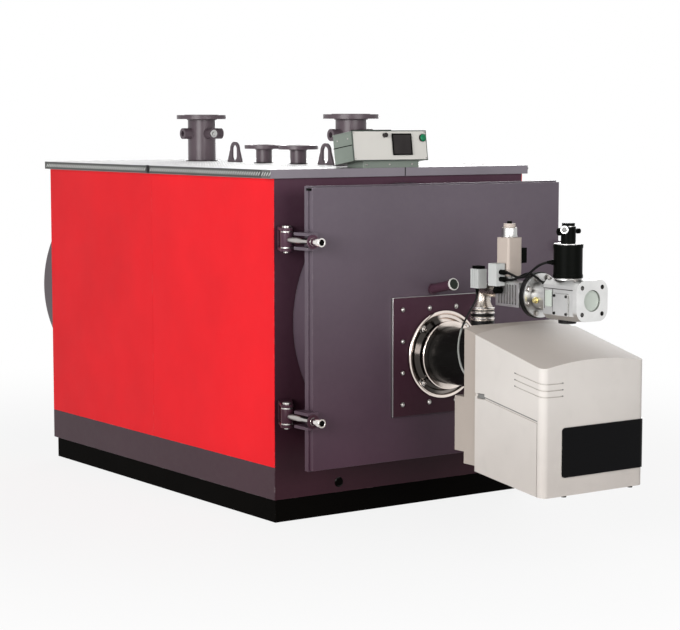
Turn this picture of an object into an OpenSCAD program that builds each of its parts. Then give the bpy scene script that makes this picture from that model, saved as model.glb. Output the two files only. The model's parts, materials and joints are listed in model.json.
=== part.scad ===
// Industrial hot-water boiler: insulated casing, round boiler body, hinged front door, gas burner.
// Millimetres, +Z up. The origin is on the floor under the middle of the casing; the front faces -Y.

/* [Casing] */
// Length of the casing over the end panels
casing_len = 2015; // [1900:1:2200]
// Space between the shell and the side panels
side_gap = 76.5; // [60:0.5:100]
// Space between the shell's crown and the top of the side panels
crown_gap = 29; // [20:1:60]
// Height of the black plinth frame
plinth_h = 97; // [60:1:140]
// Height of the dark skirt above the plinth
skirt_h = 138; // [80:1:150]
// Thickness of the insulated casing panels
panel_t = 20; // [12:1:30]
// Outer skin of a side panel that laps over the end panels
skin_t = 4; // [2:0.5:6]
// Height of the folded edge of the top plates
top_h = 37; // [25:1:50]
// Sheet thickness of the top plates
top_t = 5; // [3:0.5:8]
// Overhang of the top plates at the sides
top_over = 18.5; // [8:0.5:30]
// Depth of the dark rail along the front top edge
rail_d = 65; // [50:1:90]
// Width of the plinth frame's beams
beam_w = 80; // [60:1:120]

/* [Boiler body] */
// Outer radius of the boiler shell
shell_r = 575; // [540:1:620]
// Height of the shell's lowest line above the plinth
shell_lift = 164; // [150:1:190]
// Wall of the boiler shell
shell_wall = 10; // [6:1:16]
// Length of the shell in front of the casing
neck_len = 208.5; // [180:0.5:230]
// Length of the smokebox behind the casing
smokebox_len = 282; // [200:1:340]
// Outer radius of the furnace tube
furnace_r = 270; // [220:1:285]
// Wall of the furnace tube
furnace_wall = 12; // [8:1:16]
// Length of the furnace tube
furnace_len = 1900; // [1500:1:1950]
// Radius of a smoke tube's mouth
smoke_r = 27; // [20:1:30]
// Outer radius of the flue spigot
flue_r = 175; // [125:1:200]
// Length of the flue spigot
flue_len = 120; // [80:1:200]

/* [Top fittings] */
// Radius of the flow and return pipes
pipe_r = 69.85; // [57:0.05:84]
// Radius of the flow and return flanges
flange_r = 125; // [110:1:145]
// Height of the flow and return flange faces above the deck
flange_rise = 231; // [190:1:280]
// Bolt circle of the flow and return flanges
flange_pcd = 210; // [180:1:240]
// Distance of the flow nozzle in front of the middle
flow_y = 619; // [560:1:660]
// Distance of the return nozzle behind the middle
return_y = 664; // [600:1:720]
// Radius of the safety valve pipes
safety_r = 38.05; // [30:0.05:45]
// Radius of the safety valve flanges
safety_flange_r = 92.5; // [80:0.5:100]
// Height of the safety valve flange faces above the deck
safety_rise = 88; // [60:1:120]
// Bolt circle of the safety valve flanges
safety_pcd = 145; // [125:1:160]
// Width of a lifting eye at its foot
eye_w = 125; // [100:1:150]
// Height of the top of a lifting eye above the deck
eye_rise = 99; // [80:1:130]

/* [Control box] */
// Width of the control box
box_w = 392; // [300:1:450]
// Depth of the control box
box_d = 148; // [120:1:180]
// Height of the control box
box_h = 127; // [100:1:150]
// Tilt of the control box
box_tilt = 8; // [0:0.5:12]

/* [Door] */
// Overhang of the door beyond the shell at each side
door_over = 88.5; // [70:0.5:90]
// Thickness of the door's rear frame
frame_t = 25; // [15:1:35]
// Thickness of the door's front cover
cover_t = 25; // [15:1:35]
// Gap between the shell's front edge and the door
door_gap = 6; // [5:0.5:10]
// Gap round the refractory lining inside the shell
lining_gap = 50; // [40:1:80]
// Thickness of the refractory lining
lining_t = 40; // [20:1:45]
// Radius of the hinge pins
pin_r = 12; // [8:0.5:14]
// Height of a hinge above and below the door's middle
hinge_dz = 362; // [320:1:420]
// Height of a closing bolt above and below the door's middle
closing_dz = 295; // [250:1:420]

/* [Burner] */
// Depth of the burner's axis below the shell's axis
burner_drop = 141; // [130:1:150]
// Half width of the burner plate
plate_w = 262; // [240:1:275]
// Radius of the bright mounting flange
mount_r = 187; // [170:1:200]
// Radius of the burner tube
tube_r = 120; // [100:1:125]
// Distance of the burner's cover in front of the door
cover_gap = 553; // [500:1:600]
// Width of the burner's cover
hood_w = 530; // [480:1:560]
// Depth of the burner's cover
hood_d = 401; // [360:1:450]
// Depth of the burner's rear casing
body_d = 80; // [60:1:110]

/* [Gas train] */
// Height of the gas train's axis above the burner's axis
gas_rise = 295; // [285:1:310]
// Distance of the gas elbow behind the burner's cover
elbow_back = 278; // [260:1:300]
// Radius of the gas pipe
gas_r = 29; // [25:0.5:32]
// Radius of the round flange pair behind the main valve
disc_r = 92; // [80:1:100]
// Half width of the square gas inlet flange
inlet_r = 80; // [76:0.5:90]
// Bolt circle of the gas inlet flange
inlet_pcd = 145; // [130:1:150]
// Radius of the recess in the gas inlet flange
inlet_recess_r = 42; // [30:1:48]
// Radius of the black magnet coil
coil_r = 58.5; // [45:0.5:60]

/* [Hidden] */
$fn = 96;
fit = 0.3;
hair = 0.05;
over = 1;
seam = 1;

// Casing
half_w = shell_r + side_gap + panel_t;
front_y = -casing_len / 2;
rear_y = casing_len / 2;
shell_z = plinth_h + shell_lift + shell_r;
skirt_top = plinth_h + skirt_h;
panel_top = shell_z + shell_r + crown_gap;
deck_z = panel_top + top_h;
deck_w = half_w + top_over;
deck_rear = rear_y + 22;
rail_front = front_y - 12;
rail_end = 4;
plinth_in = 8;
plinth_front = front_y + 6;
plinth_rear = rear_y - 26;
drain_x = -349;
drain_r = 10;

// Boiler body
shell_front = front_y - neck_len;
shell_rear = rear_y + 30;
shell_in = shell_r - shell_wall;
smokebox_rear = rear_y + smokebox_len;
smokebox_wall = 8;
flue_wall = 5;
flue_ring = 30;
flue_ring_t = 10;
tube_plate_t = 40;
tube_plate_front = shell_front + 106;
water_wall_t = 14;
rear_plate_t = 20;
furnace_rear = tube_plate_front + furnace_len;
outer_row_r = shell_in - 58;
inner_row_r = shell_in - 138;
smoke_gap = 25;
smoke_clear = furnace_r + smoke_r + smoke_gap;
saddle_y = 600;
saddle_t = 60;
saddle_h = 320;
saddle_in = panel_t + 12;
hole_gap = 1;

// Top fittings
flange_t = 22;
raised_face = 2;
safety_flange_t = 20;
bolt_hole_r = 9;
pipe_wall = 5;
safety_wall = 4;
pipe_gap = 4;
socket_r = 27;
socket_bore_r = 13.5;
socket_depth = 26;
socket_drop = 94;
socket_end = 112;
safety_front_y = -198;
safety_rear_y = 94;
eye_front_y = -(flow_y + 227) / 2;
eye_rear_y = (return_y + 42) / 2;
eye_t = 12;
eye_top_r = 38;
eye_hole_r = 23;
eye_hole_h = 30;
eye_slot_gap = 2;

// Control box
box_x = -81;
box_front = front_y - 22;
box_foot = 32;
fascia_t = 6;
lid_t = 5;
lid_over = 2;
box_groove = 4;
box_groove_z = 0.52 * box_h;
bracket_w = 296;
bracket_shift = 10;
bracket_in = 14;
bracket_d = 0.9 * box_d;
display_x = 11;
display_w = 98;
display_z = 24;
display_h = 87;
display_t = 5;
lamp_r = 17;
lamp_h = 8;
lamp_in = 22;
lamp_drop = 32;
knob_r = 10;
knob_h = 14;
knob_x = -28;
knob_drop = 20;

// Door
door_drop = 2;
door_over_z = 6;
door_x = shell_r + door_over;
door_h = 2 * (shell_r + door_over_z);
door_z = shell_z - door_drop;
door_z0 = door_z - door_h / 2;
door_back = shell_front - door_gap;
cover_back = door_back - frame_t;
door_front = cover_back - cover_t;
cover_margin = 6;
lining_r = shell_in - lining_gap;
pin_x = -door_x - 26.5;
pin_y = front_y - 123.5;
pin_tail = 54;
pin_head_r = pin_r + 6;
pin_head_h = 8;
ear_z = 36;
ear_t = 12;
ear_r = 26;
ear_root_w = 70;
ear_root_t = 10;
ear_root_x = 17.5 - half_w;
ear_side = 6;
bolt_r = 12;
bolt_eye_r = 24;
lug_gap = 46;
lug_t = 12;
lug_w = 26;
lug_front = door_front - 46;
nut_r = 18.5;
nut_h = 66;
nut_neck_r = 15;
nut_head = 18;
nut_washer_r = lug_gap / 2 + 5;
nut_washer_t = 5;
nut_recess = 9;
closing_in = 17;
closing_x = door_x - closing_in;
closing_head = 16;
closing_recess_r = 12;
closing_recess = 8;
closing_tip = 20;
post_r = 24;
post_gap = 4;
post_bore = 50;
post_front = door_back + 42;
sleeve_r = 23;
sleeve_len = 30;

// Burner
burner_z = shell_z - burner_drop;
plate_t = 12;
plate_front = door_front - plate_t;
plate_h = 499;
mount_t = 18;
mount_bead_r = mount_t / 2;
dish_t = 8;
collar_r = 140;
collar_foot = 16;
collar_lip = 5;
mount_front = plate_front - mount_t;
collar_front = mount_front - 38;
hood_rear = door_front - cover_gap;
hood_front = hood_rear - hood_d;
body_rear = hood_rear + body_d;
body_in = 10;
body_low = burner_z - 375;
body_drop = 4;
fan_low = burner_z - 328;
fan_high = burner_z - 108;
fan_d = 58;
fan_in = 110;
hood_arch_r = 1417;
hood_top_rear = burner_z + 174;
hood_top_front = burner_z + 75;
hood_slope = atan((hood_top_rear - hood_top_front) / hood_d);
hood_low_rear = burner_z - 394;
hood_low_front = burner_z - 443;
hood_corner = 30;
groove_w = 11;
groove_deep = 4;
groove_rear = burner_z - 92;
groove_front = burner_z - 163;
seam_w = 3;
seam_top = groove_front + groove_w + hood_corner * (groove_rear - groove_front) / hood_d;
notch_d = 10;
notch_h = 22;
notch_w = 46;
notch_in = 12;
line_w = 4;
line_pitch = 25;
line_rear = burner_z + 12;
line_front = burner_z - 59;
line_x = -165;
line_y = hood_rear - 239;
foot_r = 10;
foot_h = 18;
foot_in = 40;
left_foot_x = -118;
right_foot_x = 230;
panel_x = -167;
panel_z = burner_z - 371;
panel_face_h = 192;
panel_corner = 14;
panel_proud = 5;
panel_wrap = 70;
tube_tip = tube_plate_front + 50;
tube_wall = 8;
tube_mouth = 45;
flame_disc_d = 80;
flame_slots = 8;
flame_slot_w = 8;
flame_hole_r = 0.25 * tube_r;
sight_x = -46;
sight_r = 20;
sight_len = 146;
sight_ring_r = 25;
sight_ring_h = 16;
sight_glass_r = 17;
sight_recess = 6;
sight_foot_r = 24;
sight_foot_t = 8;
sight_tilt = 12;
sight_gap = 3.5;
sight_z = burner_z + plate_h / 2 + sight_gap + sight_foot_r;

// Gas train
gas_z = burner_z + gas_rise;
elbow_y = hood_rear + elbow_back;
elbow_foot_r = 46;
elbow_foot_top = burner_z + 138;
elbow_neck_r = 40;
elbow_ring_r = 48.5;
low_ring_z = elbow_foot_top + 8;
low_ring_t = 37;
top_ring_z = low_ring_z + low_ring_t + 12;
top_ring_t = 25;
bell_z = top_ring_z + top_ring_t;
bell_r = 44.5;
bell_h = 44;
bell_steps = 8;
valve_y = elbow_y - 166;
valve_w = 84;
valve_back = valve_y + 33;
valve_front = valve_y - 110;
valve_low = gas_z - 54;
valve_high = gas_z + 45;
rib_sides = 3;
rib_gap = 8;
rib_pitch = 17;
rib_deep = 6;
rib_end = 10;
stem_r = 26;
stem_top = gas_z + 66;
union_r = gas_r + 8;
act_w = 74;
act_d = 76;
act_h = 154;
act_corner = 10;
cap_r = 30;
cap_h = 40;
crown_r = 24;
crown_h = 16;
button_r = 10;
button_h = 10;
plug_w = 32;
plug_d = 38;
plug_y = valve_y + act_corner - (act_d - plug_d) / 2;
plug_z = stem_top + 50;
plug_h = 61;
left_switch_x = -56;
left_switch_y = elbow_y - 41;
left_switch_w = 44;
left_switch_d = 50;
left_switch_z = gas_z + 10;
left_switch_h = 78;
left_stub_r = 9;
front_switch_w = 44;
front_switch_d = 51;
front_switch_h = 90;
front_switch_gap = 2;
front_switch_x = -valve_w / 2 - front_switch_gap - front_switch_w / 2;
front_switch_z = gas_z + 28;
front_switch_face = valve_y - front_switch_d / 2;
fitting_r = 13;
fitting_z = gas_z + 8;
fitting_end = 8;
fitting_neck_r = 10;
gland_r = 10;
gland_len = 16;
gland_end = front_switch_face - gland_len;
lower_gland_z = front_switch_z + 28;
upper_gland_z = lower_gland_z + 28;
switch_rib = 2;
switch_rib_w = 6;
switch_cap_in = 5;
switch_cap_h = 12;
disc_y = hood_rear - 67;
disc_t = 24;
disc_edge = 2;
main_back = disc_y - disc_t / 2;
main_front = main_back - 276;
inlet_t = 24;
inlet_front = main_front - inlet_t;
inlet_corner = 44;
inlet_recess = 12;
barrel_r = 58;
main_ring_r = 88;
main_ring_t = 8;
main_w = 124;
main_low = gas_z - 82;
main_high = gas_z + 74;
main_chamfer = 20;
main_part_z = gas_z + 38;
main_part_w = 3;
main_part_d = 4;
main_block_front = main_front + 12;
main_block_back = main_back - 88;
main_plug_r = 34;
main_plug_h = 15;
side_plate_w = 84;
side_plate_t = 6;
side_plate_y = main_block_front + 72;
side_plate_z = gas_z - 20;
coil_y = hood_rear - 239;
coil_z = gas_z + 80;
coil_h = 131;
coil_band = 14;
coil_step = 2;
coil_plate_r = 54;
head_r = 29;
head_h = 82;
head_cap_h = 14;
head_cap_r = 25;
head_knob_z = coil_z + 180;
head_knob_r = 11;
head_knob_reach = 20;
head_ring_r = 15;
head_ring_t = 8;
small_knob_r = 7;
small_knob_end_r = 10;
small_knob_reach = 28;
small_knob_end = 12;

// Leads, as points on their centre lines
lead_sides = 8;
lead_steps = 4;
thin_lead_r = 4;
lead_r = 5;
coil_skin = coil_r - coil_step + fit;
switch_points = [
  [left_switch_x, elbow_y - 33, left_switch_z - fit], [left_switch_x, elbow_y - 33, gas_z - 12],
  [-70, elbow_y - 40, gas_z - 42], [-108, elbow_y - 40, gas_z - 95],
  [-148, elbow_y - 46, gas_z - 155], [-183, elbow_y - 70, gas_z - 225],
  [-206, elbow_y - 118, gas_z - 294], [-212, body_rear + 30, gas_z - 330],
  [-212, body_rear + fit, gas_z - 330]];
coil_points = [
  [front_switch_x, gland_end - fit, upper_gland_z], [front_switch_x, gland_end - 25, upper_gland_z],
  [-67, elbow_y - 268, gas_z + 76], [-70, elbow_y - 307, gas_z + 70],
  [-75, elbow_y - 346, gas_z + 76], [-80, elbow_y - 384, gas_z + 93],
  [-83.8, coil_y + 89, gas_z + 119], [-78.2, coil_y + 61, gas_z + 133.5],
  [-63.7, coil_y + 43, gas_z + 140],
  [-0.83 * coil_skin, coil_y + 0.56 * coil_skin, gas_z + 140]];
valve_points = [
  [front_switch_x, gland_end - fit, lower_gland_z], [front_switch_x, gland_end - 25, lower_gland_z],
  [-63.5, elbow_y - 264, gas_z + 58.5], [-59, elbow_y - 295, gas_z + 69],
  [-54.5, elbow_y - 325, gas_z + 83.5], [-50.5, elbow_y - 355, gas_z + 87.5],
  [-47, elbow_y - 383, gas_z + 76], [-43.5, elbow_y - 405, gas_z + 62.5],
  [-main_w / 2 + main_chamfer, main_block_back + 20, gas_z + 56],
  [-main_w / 2 + main_chamfer, main_block_back + fit, gas_z + 56]];

// Cylinder along X between two places
module rod_x(r, x0, x1, y, z) {
  translate([x0, y, z]) rotate([0, 90, 0]) cylinder(h = x1 - x0, r = r);
}

// Cylinder along Y between two places
module rod_y(r, y0, y1, x, z) {
  translate([x, y0, z]) rotate([-90, 0, 0]) cylinder(h = y1 - y0, r = r);
}

// Upright cylinder between two heights
module rod_z(r, z0, z1, x, y) {
  translate([x, y, z0]) cylinder(h = z1 - z0, r = r);
}

// Box between two corners
module block(low, high) {
  translate(low) cube(high - low);
}

// Upright box on the middle of its foot
module upright(w, d, z0, h, x, y) {
  block([x - w / 2, y - d / 2, z0], [x + w / 2, y + d / 2, z0 + h]);
}

// Welded rectangle of beams under the casing
module base_frame() {
  x = half_w - plinth_in;
  color([0.07, 0.06, 0.05]) difference() {
    block([-x, plinth_front, 0], [x, plinth_rear, plinth_h]);
    block([-x + beam_w, plinth_front + beam_w, -over], [x - beam_w, plinth_rear - beam_w, plinth_h + over]);
  }
}

// Two cradles that carry the shell on the plinth
module saddles() {
  x = half_w - saddle_in;
  color([0.2, 0.2, 0.2]) for (side = [-1, 1]) difference() {
    block([-x, side * saddle_y - saddle_t / 2, plinth_h],
      [x, side * saddle_y + saddle_t / 2, plinth_h + saddle_h]);
    rod_y(shell_r + fit, front_y, rear_y, 0, shell_z);
  }
}

// Round outer shell of the boiler body
module boiler_shell() {
  color([0.28, 0.24, 0.28]) difference() {
    rod_y(shell_r, shell_front, shell_rear, 0, shell_z);
    rod_y(shell_in, shell_front - over, shell_rear + over, 0, shell_z);
  }
}

// Mouths of one row of smoke tubes, where they clear the furnace
module smoke_row(r, count) {
  for (i = [0 : count - 1]) {
    x = r * sin(i * 360 / count);
    z = shell_z + r * cos(i * 360 / count);
    if (norm([x, z - burner_z]) > smoke_clear)
      rod_y(smoke_r, tube_plate_front - over, tube_plate_front + tube_plate_t + over, x, z);
  }
}

// Front tube plate with the furnace mouth and the mouths of the smoke tubes
module tube_plate() {
  color([0.3, 0.28, 0.27]) difference() {
    rod_y(shell_in - fit, tube_plate_front, tube_plate_front + tube_plate_t, 0, shell_z);
    rod_y(furnace_r + fit, tube_plate_front - over, tube_plate_front + tube_plate_t + over, 0, burner_z);
    smoke_row(outer_row_r, 36);
    smoke_row(inner_row_r, 30);
  }
}

// Wall behind the tube plate that closes the water space
module water_wall() {
  back = tube_plate_front + tube_plate_t;
  color([0.12, 0.11, 0.11]) difference() {
    rod_y(shell_in - fit, back, back + water_wall_t, 0, shell_z);
    rod_y(furnace_r + fit, back - over, back + water_wall_t + over, 0, burner_z);
  }
}

// Furnace tube with its closed rear end
module furnace() {
  color([0.2, 0.18, 0.17]) difference() {
    rod_y(furnace_r, tube_plate_front, furnace_rear, 0, burner_z);
    rod_y(furnace_r - furnace_wall, tube_plate_front - over, furnace_rear - furnace_wall, 0, burner_z);
  }
}

// Rear tube plate at the end of the shell
module rear_plate() {
  color([0.2, 0.18, 0.17]) rod_y(shell_in - fit, shell_rear - rear_plate_t, shell_rear, 0, shell_z);
}

// Round smokebox at the rear with the hole for the flue
module rear_smokebox() {
  color([0.25, 0.23, 0.24]) difference() {
    rod_y(shell_r, shell_rear, smokebox_rear, 0, shell_z);
    rod_y(shell_r - smokebox_wall, shell_rear - over, smokebox_rear - smokebox_wall, 0, shell_z);
    rod_y(flue_r - flue_wall, smokebox_rear - 2 * smokebox_wall, smokebox_rear + over, 0, shell_z);
  }
}

// Flue spigot with its foot ring on the smokebox
module flue_outlet() {
  color([0.25, 0.23, 0.24]) difference() {
    union() {
      rod_y(flue_r + flue_ring, smokebox_rear, smokebox_rear + flue_ring_t, 0, shell_z);
      rod_y(flue_r, smokebox_rear, smokebox_rear + flue_len, 0, shell_z);
    }
    rod_y(flue_r - flue_wall, smokebox_rear - over, smokebox_rear + flue_len + over, 0, shell_z);
  }
}

// End panel between the lapped skins of the side panels
module end_panel(y) {
  difference() {
    block([-half_w + skin_t, y, plinth_h], [half_w - skin_t, y + panel_t, panel_top]);
    rod_y(shell_r + hole_gap, y - over, y + panel_t + over, 0, shell_z);
  }
}

module front_panel() {
  color([0.27, 0.19, 0.25]) difference() {
    end_panel(front_y);
    rod_y(drain_r, front_y - over, front_y + panel_t + over, drain_x, plinth_h + skirt_h / 3);
  }
}

module rear_panel() {
  color([0.27, 0.19, 0.25]) end_panel(rear_y - panel_t);
}

// Side sheet whose outer skin laps over the end panels where it meets them
module side_sheet(side, y0, y1, z0, z1) {
  inner0 = max(y0, front_y + panel_t);
  inner1 = min(y1, rear_y - panel_t);
  mirror([side > 0 ? 0 : 1, 0, 0]) union() {
    block([half_w - skin_t, y0, z0], [half_w, y1, z1]);
    block([half_w - panel_t, inner0, z0], [half_w - skin_t, inner1, z1]);
  }
}

module left_skirt() {
  color([0.25, 0.17, 0.23]) side_sheet(-1, front_y, rear_y, plinth_h, skirt_top);
}

module right_skirt() {
  color([0.25, 0.17, 0.23]) side_sheet(1, front_y, rear_y, plinth_h, skirt_top);
}

module left_panel_front() {
  color([0.9, 0.12, 0.14]) side_sheet(-1, front_y, -seam / 2, skirt_top, panel_top);
}

module left_panel_rear() {
  color([0.9, 0.12, 0.14]) side_sheet(-1, seam / 2, rear_y, skirt_top, panel_top);
}

module right_panel_front() {
  color([0.9, 0.12, 0.14]) side_sheet(1, front_y, -seam / 2, skirt_top, panel_top);
}

module right_panel_rear() {
  color([0.9, 0.12, 0.14]) side_sheet(1, seam / 2, rear_y, skirt_top, panel_top);
}

// Folded deck plate: top sheet, hanging edges and return lips that rest on the side panels
module deck(y0, y1) {
  lip_x = half_w - panel_t;
  difference() {
    block([-deck_w, y0, panel_top], [deck_w, y1, deck_z]);
    block([-deck_w + top_t, y0 - over, panel_top + top_t], [deck_w - top_t, y1 + over, deck_z - top_t]);
    block([-lip_x, y0 - over, panel_top - over], [lip_x, y1 + over, deck_z - top_t]);
  }
}

module deck_hole(r, y) {
  rod_z(r + pipe_gap, panel_top - over, deck_z + over, 0, y);
}

// Slot in the deck for a lifting eye
module eye_slot(y) {
  upright(eye_t + 2 * eye_slot_gap, eye_w + 2 * eye_slot_gap, panel_top, top_h + over, 0, y);
}

module top_plate_front() {
  color([0.7, 0.7, 0.7]) difference() {
    deck(rail_front + rail_d, -seam / 2);
    deck_hole(pipe_r, -flow_y);
    deck_hole(safety_r, safety_front_y);
    eye_slot(eye_front_y);
  }
}

module top_plate_rear() {
  color([0.7, 0.7, 0.7]) difference() {
    union() {
      deck(seam / 2, deck_rear);
      block([-deck_w, deck_rear - top_t, panel_top], [deck_w, deck_rear, deck_z]);
    }
    deck_hole(pipe_r, return_y);
    deck_hole(safety_r, safety_rear_y);
    eye_slot(eye_rear_y);
  }
}

// Dark rail along the front top edge, in two lengths
module front_top_rail() {
  color([0.27, 0.19, 0.25]) for (side = [0, 1]) mirror([side, 0, 0])
    block([seam / 2, rail_front, panel_top], [deck_w + rail_end, rail_front + rail_d, deck_z]);
}

// Bolt holes on a circle, between two heights
module bolt_circle(pcd, count, z0, z1, y) {
  for (i = [0 : count - 1]) {
    a = (i + 0.5) * 360 / count;
    rod_z(bolt_hole_r, z0, z1, pcd / 2 * cos(a), y + pcd / 2 * sin(a));
  }
}

// Pipe welded on the crown of the shell, with its flange and raised face
module nozzle(y, r, fr, ft, top, pcd) {
  rod_z(r, shell_z + shell_in, top - raised_face, 0, y);
  rod_z(fr, top - ft, top - raised_face, 0, y);
  rod_z(pcd / 2 - 2 * bolt_hole_r, top - ft, top, 0, y);
}

// Cut that opens a nozzle's pipe and fits its foot to the shell
module nozzle_cut(y, r, fr, top) {
  rod_z(r, shell_z, top + over, 0, y);
  rod_y(shell_r + fit, y - fr, y + fr, 0, shell_z);
}

// Flow or return nozzle with four open sockets under its flange
module main_nozzle(y) {
  top = deck_z + flange_rise;
  z = top - socket_drop;
  difference() {
    union() {
      nozzle(y, pipe_r, flange_r, flange_t, top, flange_pcd);
      rod_x(socket_r, -socket_end, socket_end, y, z);
      rod_y(socket_r, y - socket_end, y + socket_end, 0, z);
    }
    nozzle_cut(y, pipe_r - pipe_wall, flange_r, top);
    bolt_circle(flange_pcd, 8, top - flange_t - over, top + over, y);
    for (a = [0 : 90 : 270]) translate([0, y, z]) rotate([0, 90, a])
      translate([0, 0, socket_end - socket_depth]) cylinder(h = socket_depth + over, r = socket_bore_r);
  }
}

module flow_nozzle() {
  color([0.3, 0.24, 0.28]) main_nozzle(-flow_y);
}

module return_nozzle() {
  color([0.3, 0.24, 0.28]) main_nozzle(return_y);
}

module safety_nozzles() {
  top = deck_z + safety_rise;
  color([0.3, 0.24, 0.28]) for (y = [safety_front_y, safety_rear_y]) difference() {
    nozzle(y, safety_r, safety_flange_r, safety_flange_t, top, safety_pcd);
    nozzle_cut(y, safety_r - safety_wall, safety_flange_r, top);
    bolt_circle(safety_pcd, 4, top - safety_flange_t - over, top + over, y);
  }
}

// Tapered plate with a rounded top and a tall hole, as seen from the side
module eye_outline() {
  foot = shell_z + shell_in;
  top = deck_z + eye_rise - eye_top_r;
  difference() {
    union() {
      polygon([[-eye_w / 2, foot], [eye_w / 2, foot], [eye_w / 2, deck_z], [eye_top_r, top],
        [-eye_top_r, top], [-eye_w / 2, deck_z]]);
      translate([0, top]) circle(r = eye_top_r);
    }
    translate([0, top]) circle(r = eye_hole_r);
    translate([0, top - eye_hole_h]) circle(r = eye_hole_r);
    translate([-eye_hole_r, top - eye_hole_h]) square([2 * eye_hole_r, eye_hole_h]);
  }
}

// Lifting plates welded on the crown of the shell
module lifting_eyes() {
  color([0.3, 0.24, 0.28]) for (y = [eye_front_y, eye_rear_y]) difference() {
    translate([-eye_t / 2, y, 0]) rotate([90, 0, 90]) linear_extrude(eye_t) eye_outline();
    rod_y(shell_r + fit, y - eye_w, y + eye_w, 0, shell_z);
  }
}

// Wedge bracket under the control box
module control_bracket() {
  y0 = box_front + bracket_in;
  y1 = box_front + bracket_d;
  color([0.5, 0.55, 0.52]) translate([box_x + bracket_shift - bracket_w / 2, 0, 0]) rotate([90, 0, 90])
    linear_extrude(bracket_w) polygon([
      [y0, deck_z],
      [y0, deck_z + box_foot - bracket_in * tan(box_tilt)],
      [y1, deck_z + box_foot - bracket_d * tan(box_tilt)],
      [y1, deck_z]]);
}

// Places its children on the tilted foot of the control box, front edge on X
module on_box() {
  translate([box_x, box_front, deck_z + box_foot]) rotate([-box_tilt, 0, 0]) children();
}

// Two-part sheet box with a parting groove and an overhanging lid
module control_box() {
  x = box_w / 2;
  color([0.53, 0.59, 0.55]) on_box() difference() {
    block([-x, fascia_t, 0], [x, box_d, box_h]);
    for (side = [0, 1]) mirror([side, 0, 0]) {
      block([x - lid_over, -over, box_groove_z], [x + over, box_d + over, box_groove_z + box_groove]);
      block([x - lid_over, fascia_t + lid_t, -over], [x + over, box_d + over, box_h - lid_t]);
    }
    block([-x - over, box_d - lid_over, -over], [x + over, box_d + over, box_h - lid_t]);
  }
}

module control_fascia() {
  color([0.84, 0.84, 0.82]) on_box() block([-box_w / 2, 0, 0], [box_w / 2, fascia_t, box_h]);
}

// Display window, lamp and knob on the fascia
module control_fittings() {
  color([0.1, 0.12, 0.12]) on_box() {
    block([display_x, -display_t, display_z], [display_x + display_w, 0, display_z + display_h]);
    rod_y(lamp_r, -lamp_h, 0, box_w / 2 - lamp_in, box_h - lamp_drop);
    rod_y(knob_r, -knob_h, 0, knob_x, box_h - knob_drop);
  }
}

// Calls its children at the two hinge heights
module at_hinges() {
  for (side = [-1, 1]) translate([pin_x, pin_y, door_z + side * hinge_dz]) children();
}

// Pair of ears that stands out from the casing front to each hinge pin
module hinge_brackets() {
  root_y = front_y - pin_y;
  root_x = ear_root_x - pin_x;
  color([0.27, 0.19, 0.25]) at_hinges() {
    for (z = [-ear_z - ear_t, ear_z]) translate([0, 0, z]) linear_extrude(ear_t) difference() {
      union() {
        circle(r = ear_r);
        polygon([[-ear_r, 0], [0, -ear_r], [ear_r, -ear_side],
          [root_x + ear_root_w, root_y], [root_x, root_y]]);
      }
      circle(r = pin_r + hair);
    }
    block([root_x, root_y - ear_root_t, -ear_z - ear_t], [root_x + ear_root_w, root_y, ear_z + ear_t]);
  }
}

// Hinge pins with heads that rest on the upper ears
module hinge_pins() {
  color([0.6, 0.6, 0.6]) at_hinges() {
    rod_z(pin_r, -pin_tail, ear_z + ear_t, 0, 0);
    rod_z(pin_head_r, ear_z + ear_t, ear_z + ear_t + pin_head_h, 0, 0);
  }
}

// Calls its children at the two closing bolts on the door's free side
module at_closings() {
  for (side = [-1, 1]) translate([closing_x, 0, door_z + side * closing_dz]) children();
}

// Posts on the casing front that take the closing bolts
module closing_posts() {
  color([0.27, 0.19, 0.25]) at_closings() difference() {
    rod_y(post_r, post_front, front_y, 0, 0);
    rod_y(bolt_r + post_gap, post_front - over, post_front + post_bore, 0, 0);
  }
}

// Rear frame of the door with the hinge lugs welded to its edge
module door_frame() {
  color([0.36, 0.33, 0.37]) {
    difference() {
      block([-door_x, cover_back, door_z0], [door_x, door_back, door_z0 + door_h]);
      rod_y(tube_r + fit, cover_back - over, door_back + over, 0, burner_z);
      at_closings() rod_y(bolt_r + fit, cover_back - over, door_back + over, 0, 0);
    }
    for (side = [-1, 1], z = [-lug_gap / 2 - lug_t, lug_gap / 2])
      block([pin_x - lug_w, lug_front, door_z + side * hinge_dz + z],
        [-door_x, door_back, door_z + side * hinge_dz + z + lug_t]);
  }
}

// Front cover of the door with the sleeves of the closing bolts
module door_cover() {
  x = door_x - cover_margin;
  color([0.4, 0.37, 0.41]) difference() {
    union() {
      block([-x, door_front, door_z0 + cover_margin], [x, cover_back, door_z0 + door_h - cover_margin]);
      at_closings() rod_y(sleeve_r, door_front - sleeve_len, door_front + over, 0, 0);
    }
    rod_y(tube_r + fit, door_front - over, cover_back + over, 0, burner_z);
    at_closings() rod_y(bolt_r + fit, door_front - sleeve_len - over, cover_back + over, 0, 0);
  }
}

// Refractory disc on the back of the door
module door_lining() {
  color([0.75, 0.7, 0.62]) difference() {
    rod_y(lining_r, door_back, door_back + lining_t, 0, shell_z);
    rod_y(tube_r + fit, door_back - over, door_back + lining_t + over, 0, burner_z);
  }
}

// Eye bolts that turn on the hinge pins and run between the door's lugs into the nuts
module hinge_bolts() {
  tip = lug_front - pin_y - nut_h + nut_recess;
  color([0.6, 0.6, 0.6]) at_hinges() difference() {
    union() {
      rod_z(bolt_eye_r, -ear_z + over, ear_z - over, 0, 0);
      rod_y(bolt_r, tip, 0, 0, 0);
    }
    rod_z(pin_r + hair, -ear_z, ear_z, 0, 0);
  }
}

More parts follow.
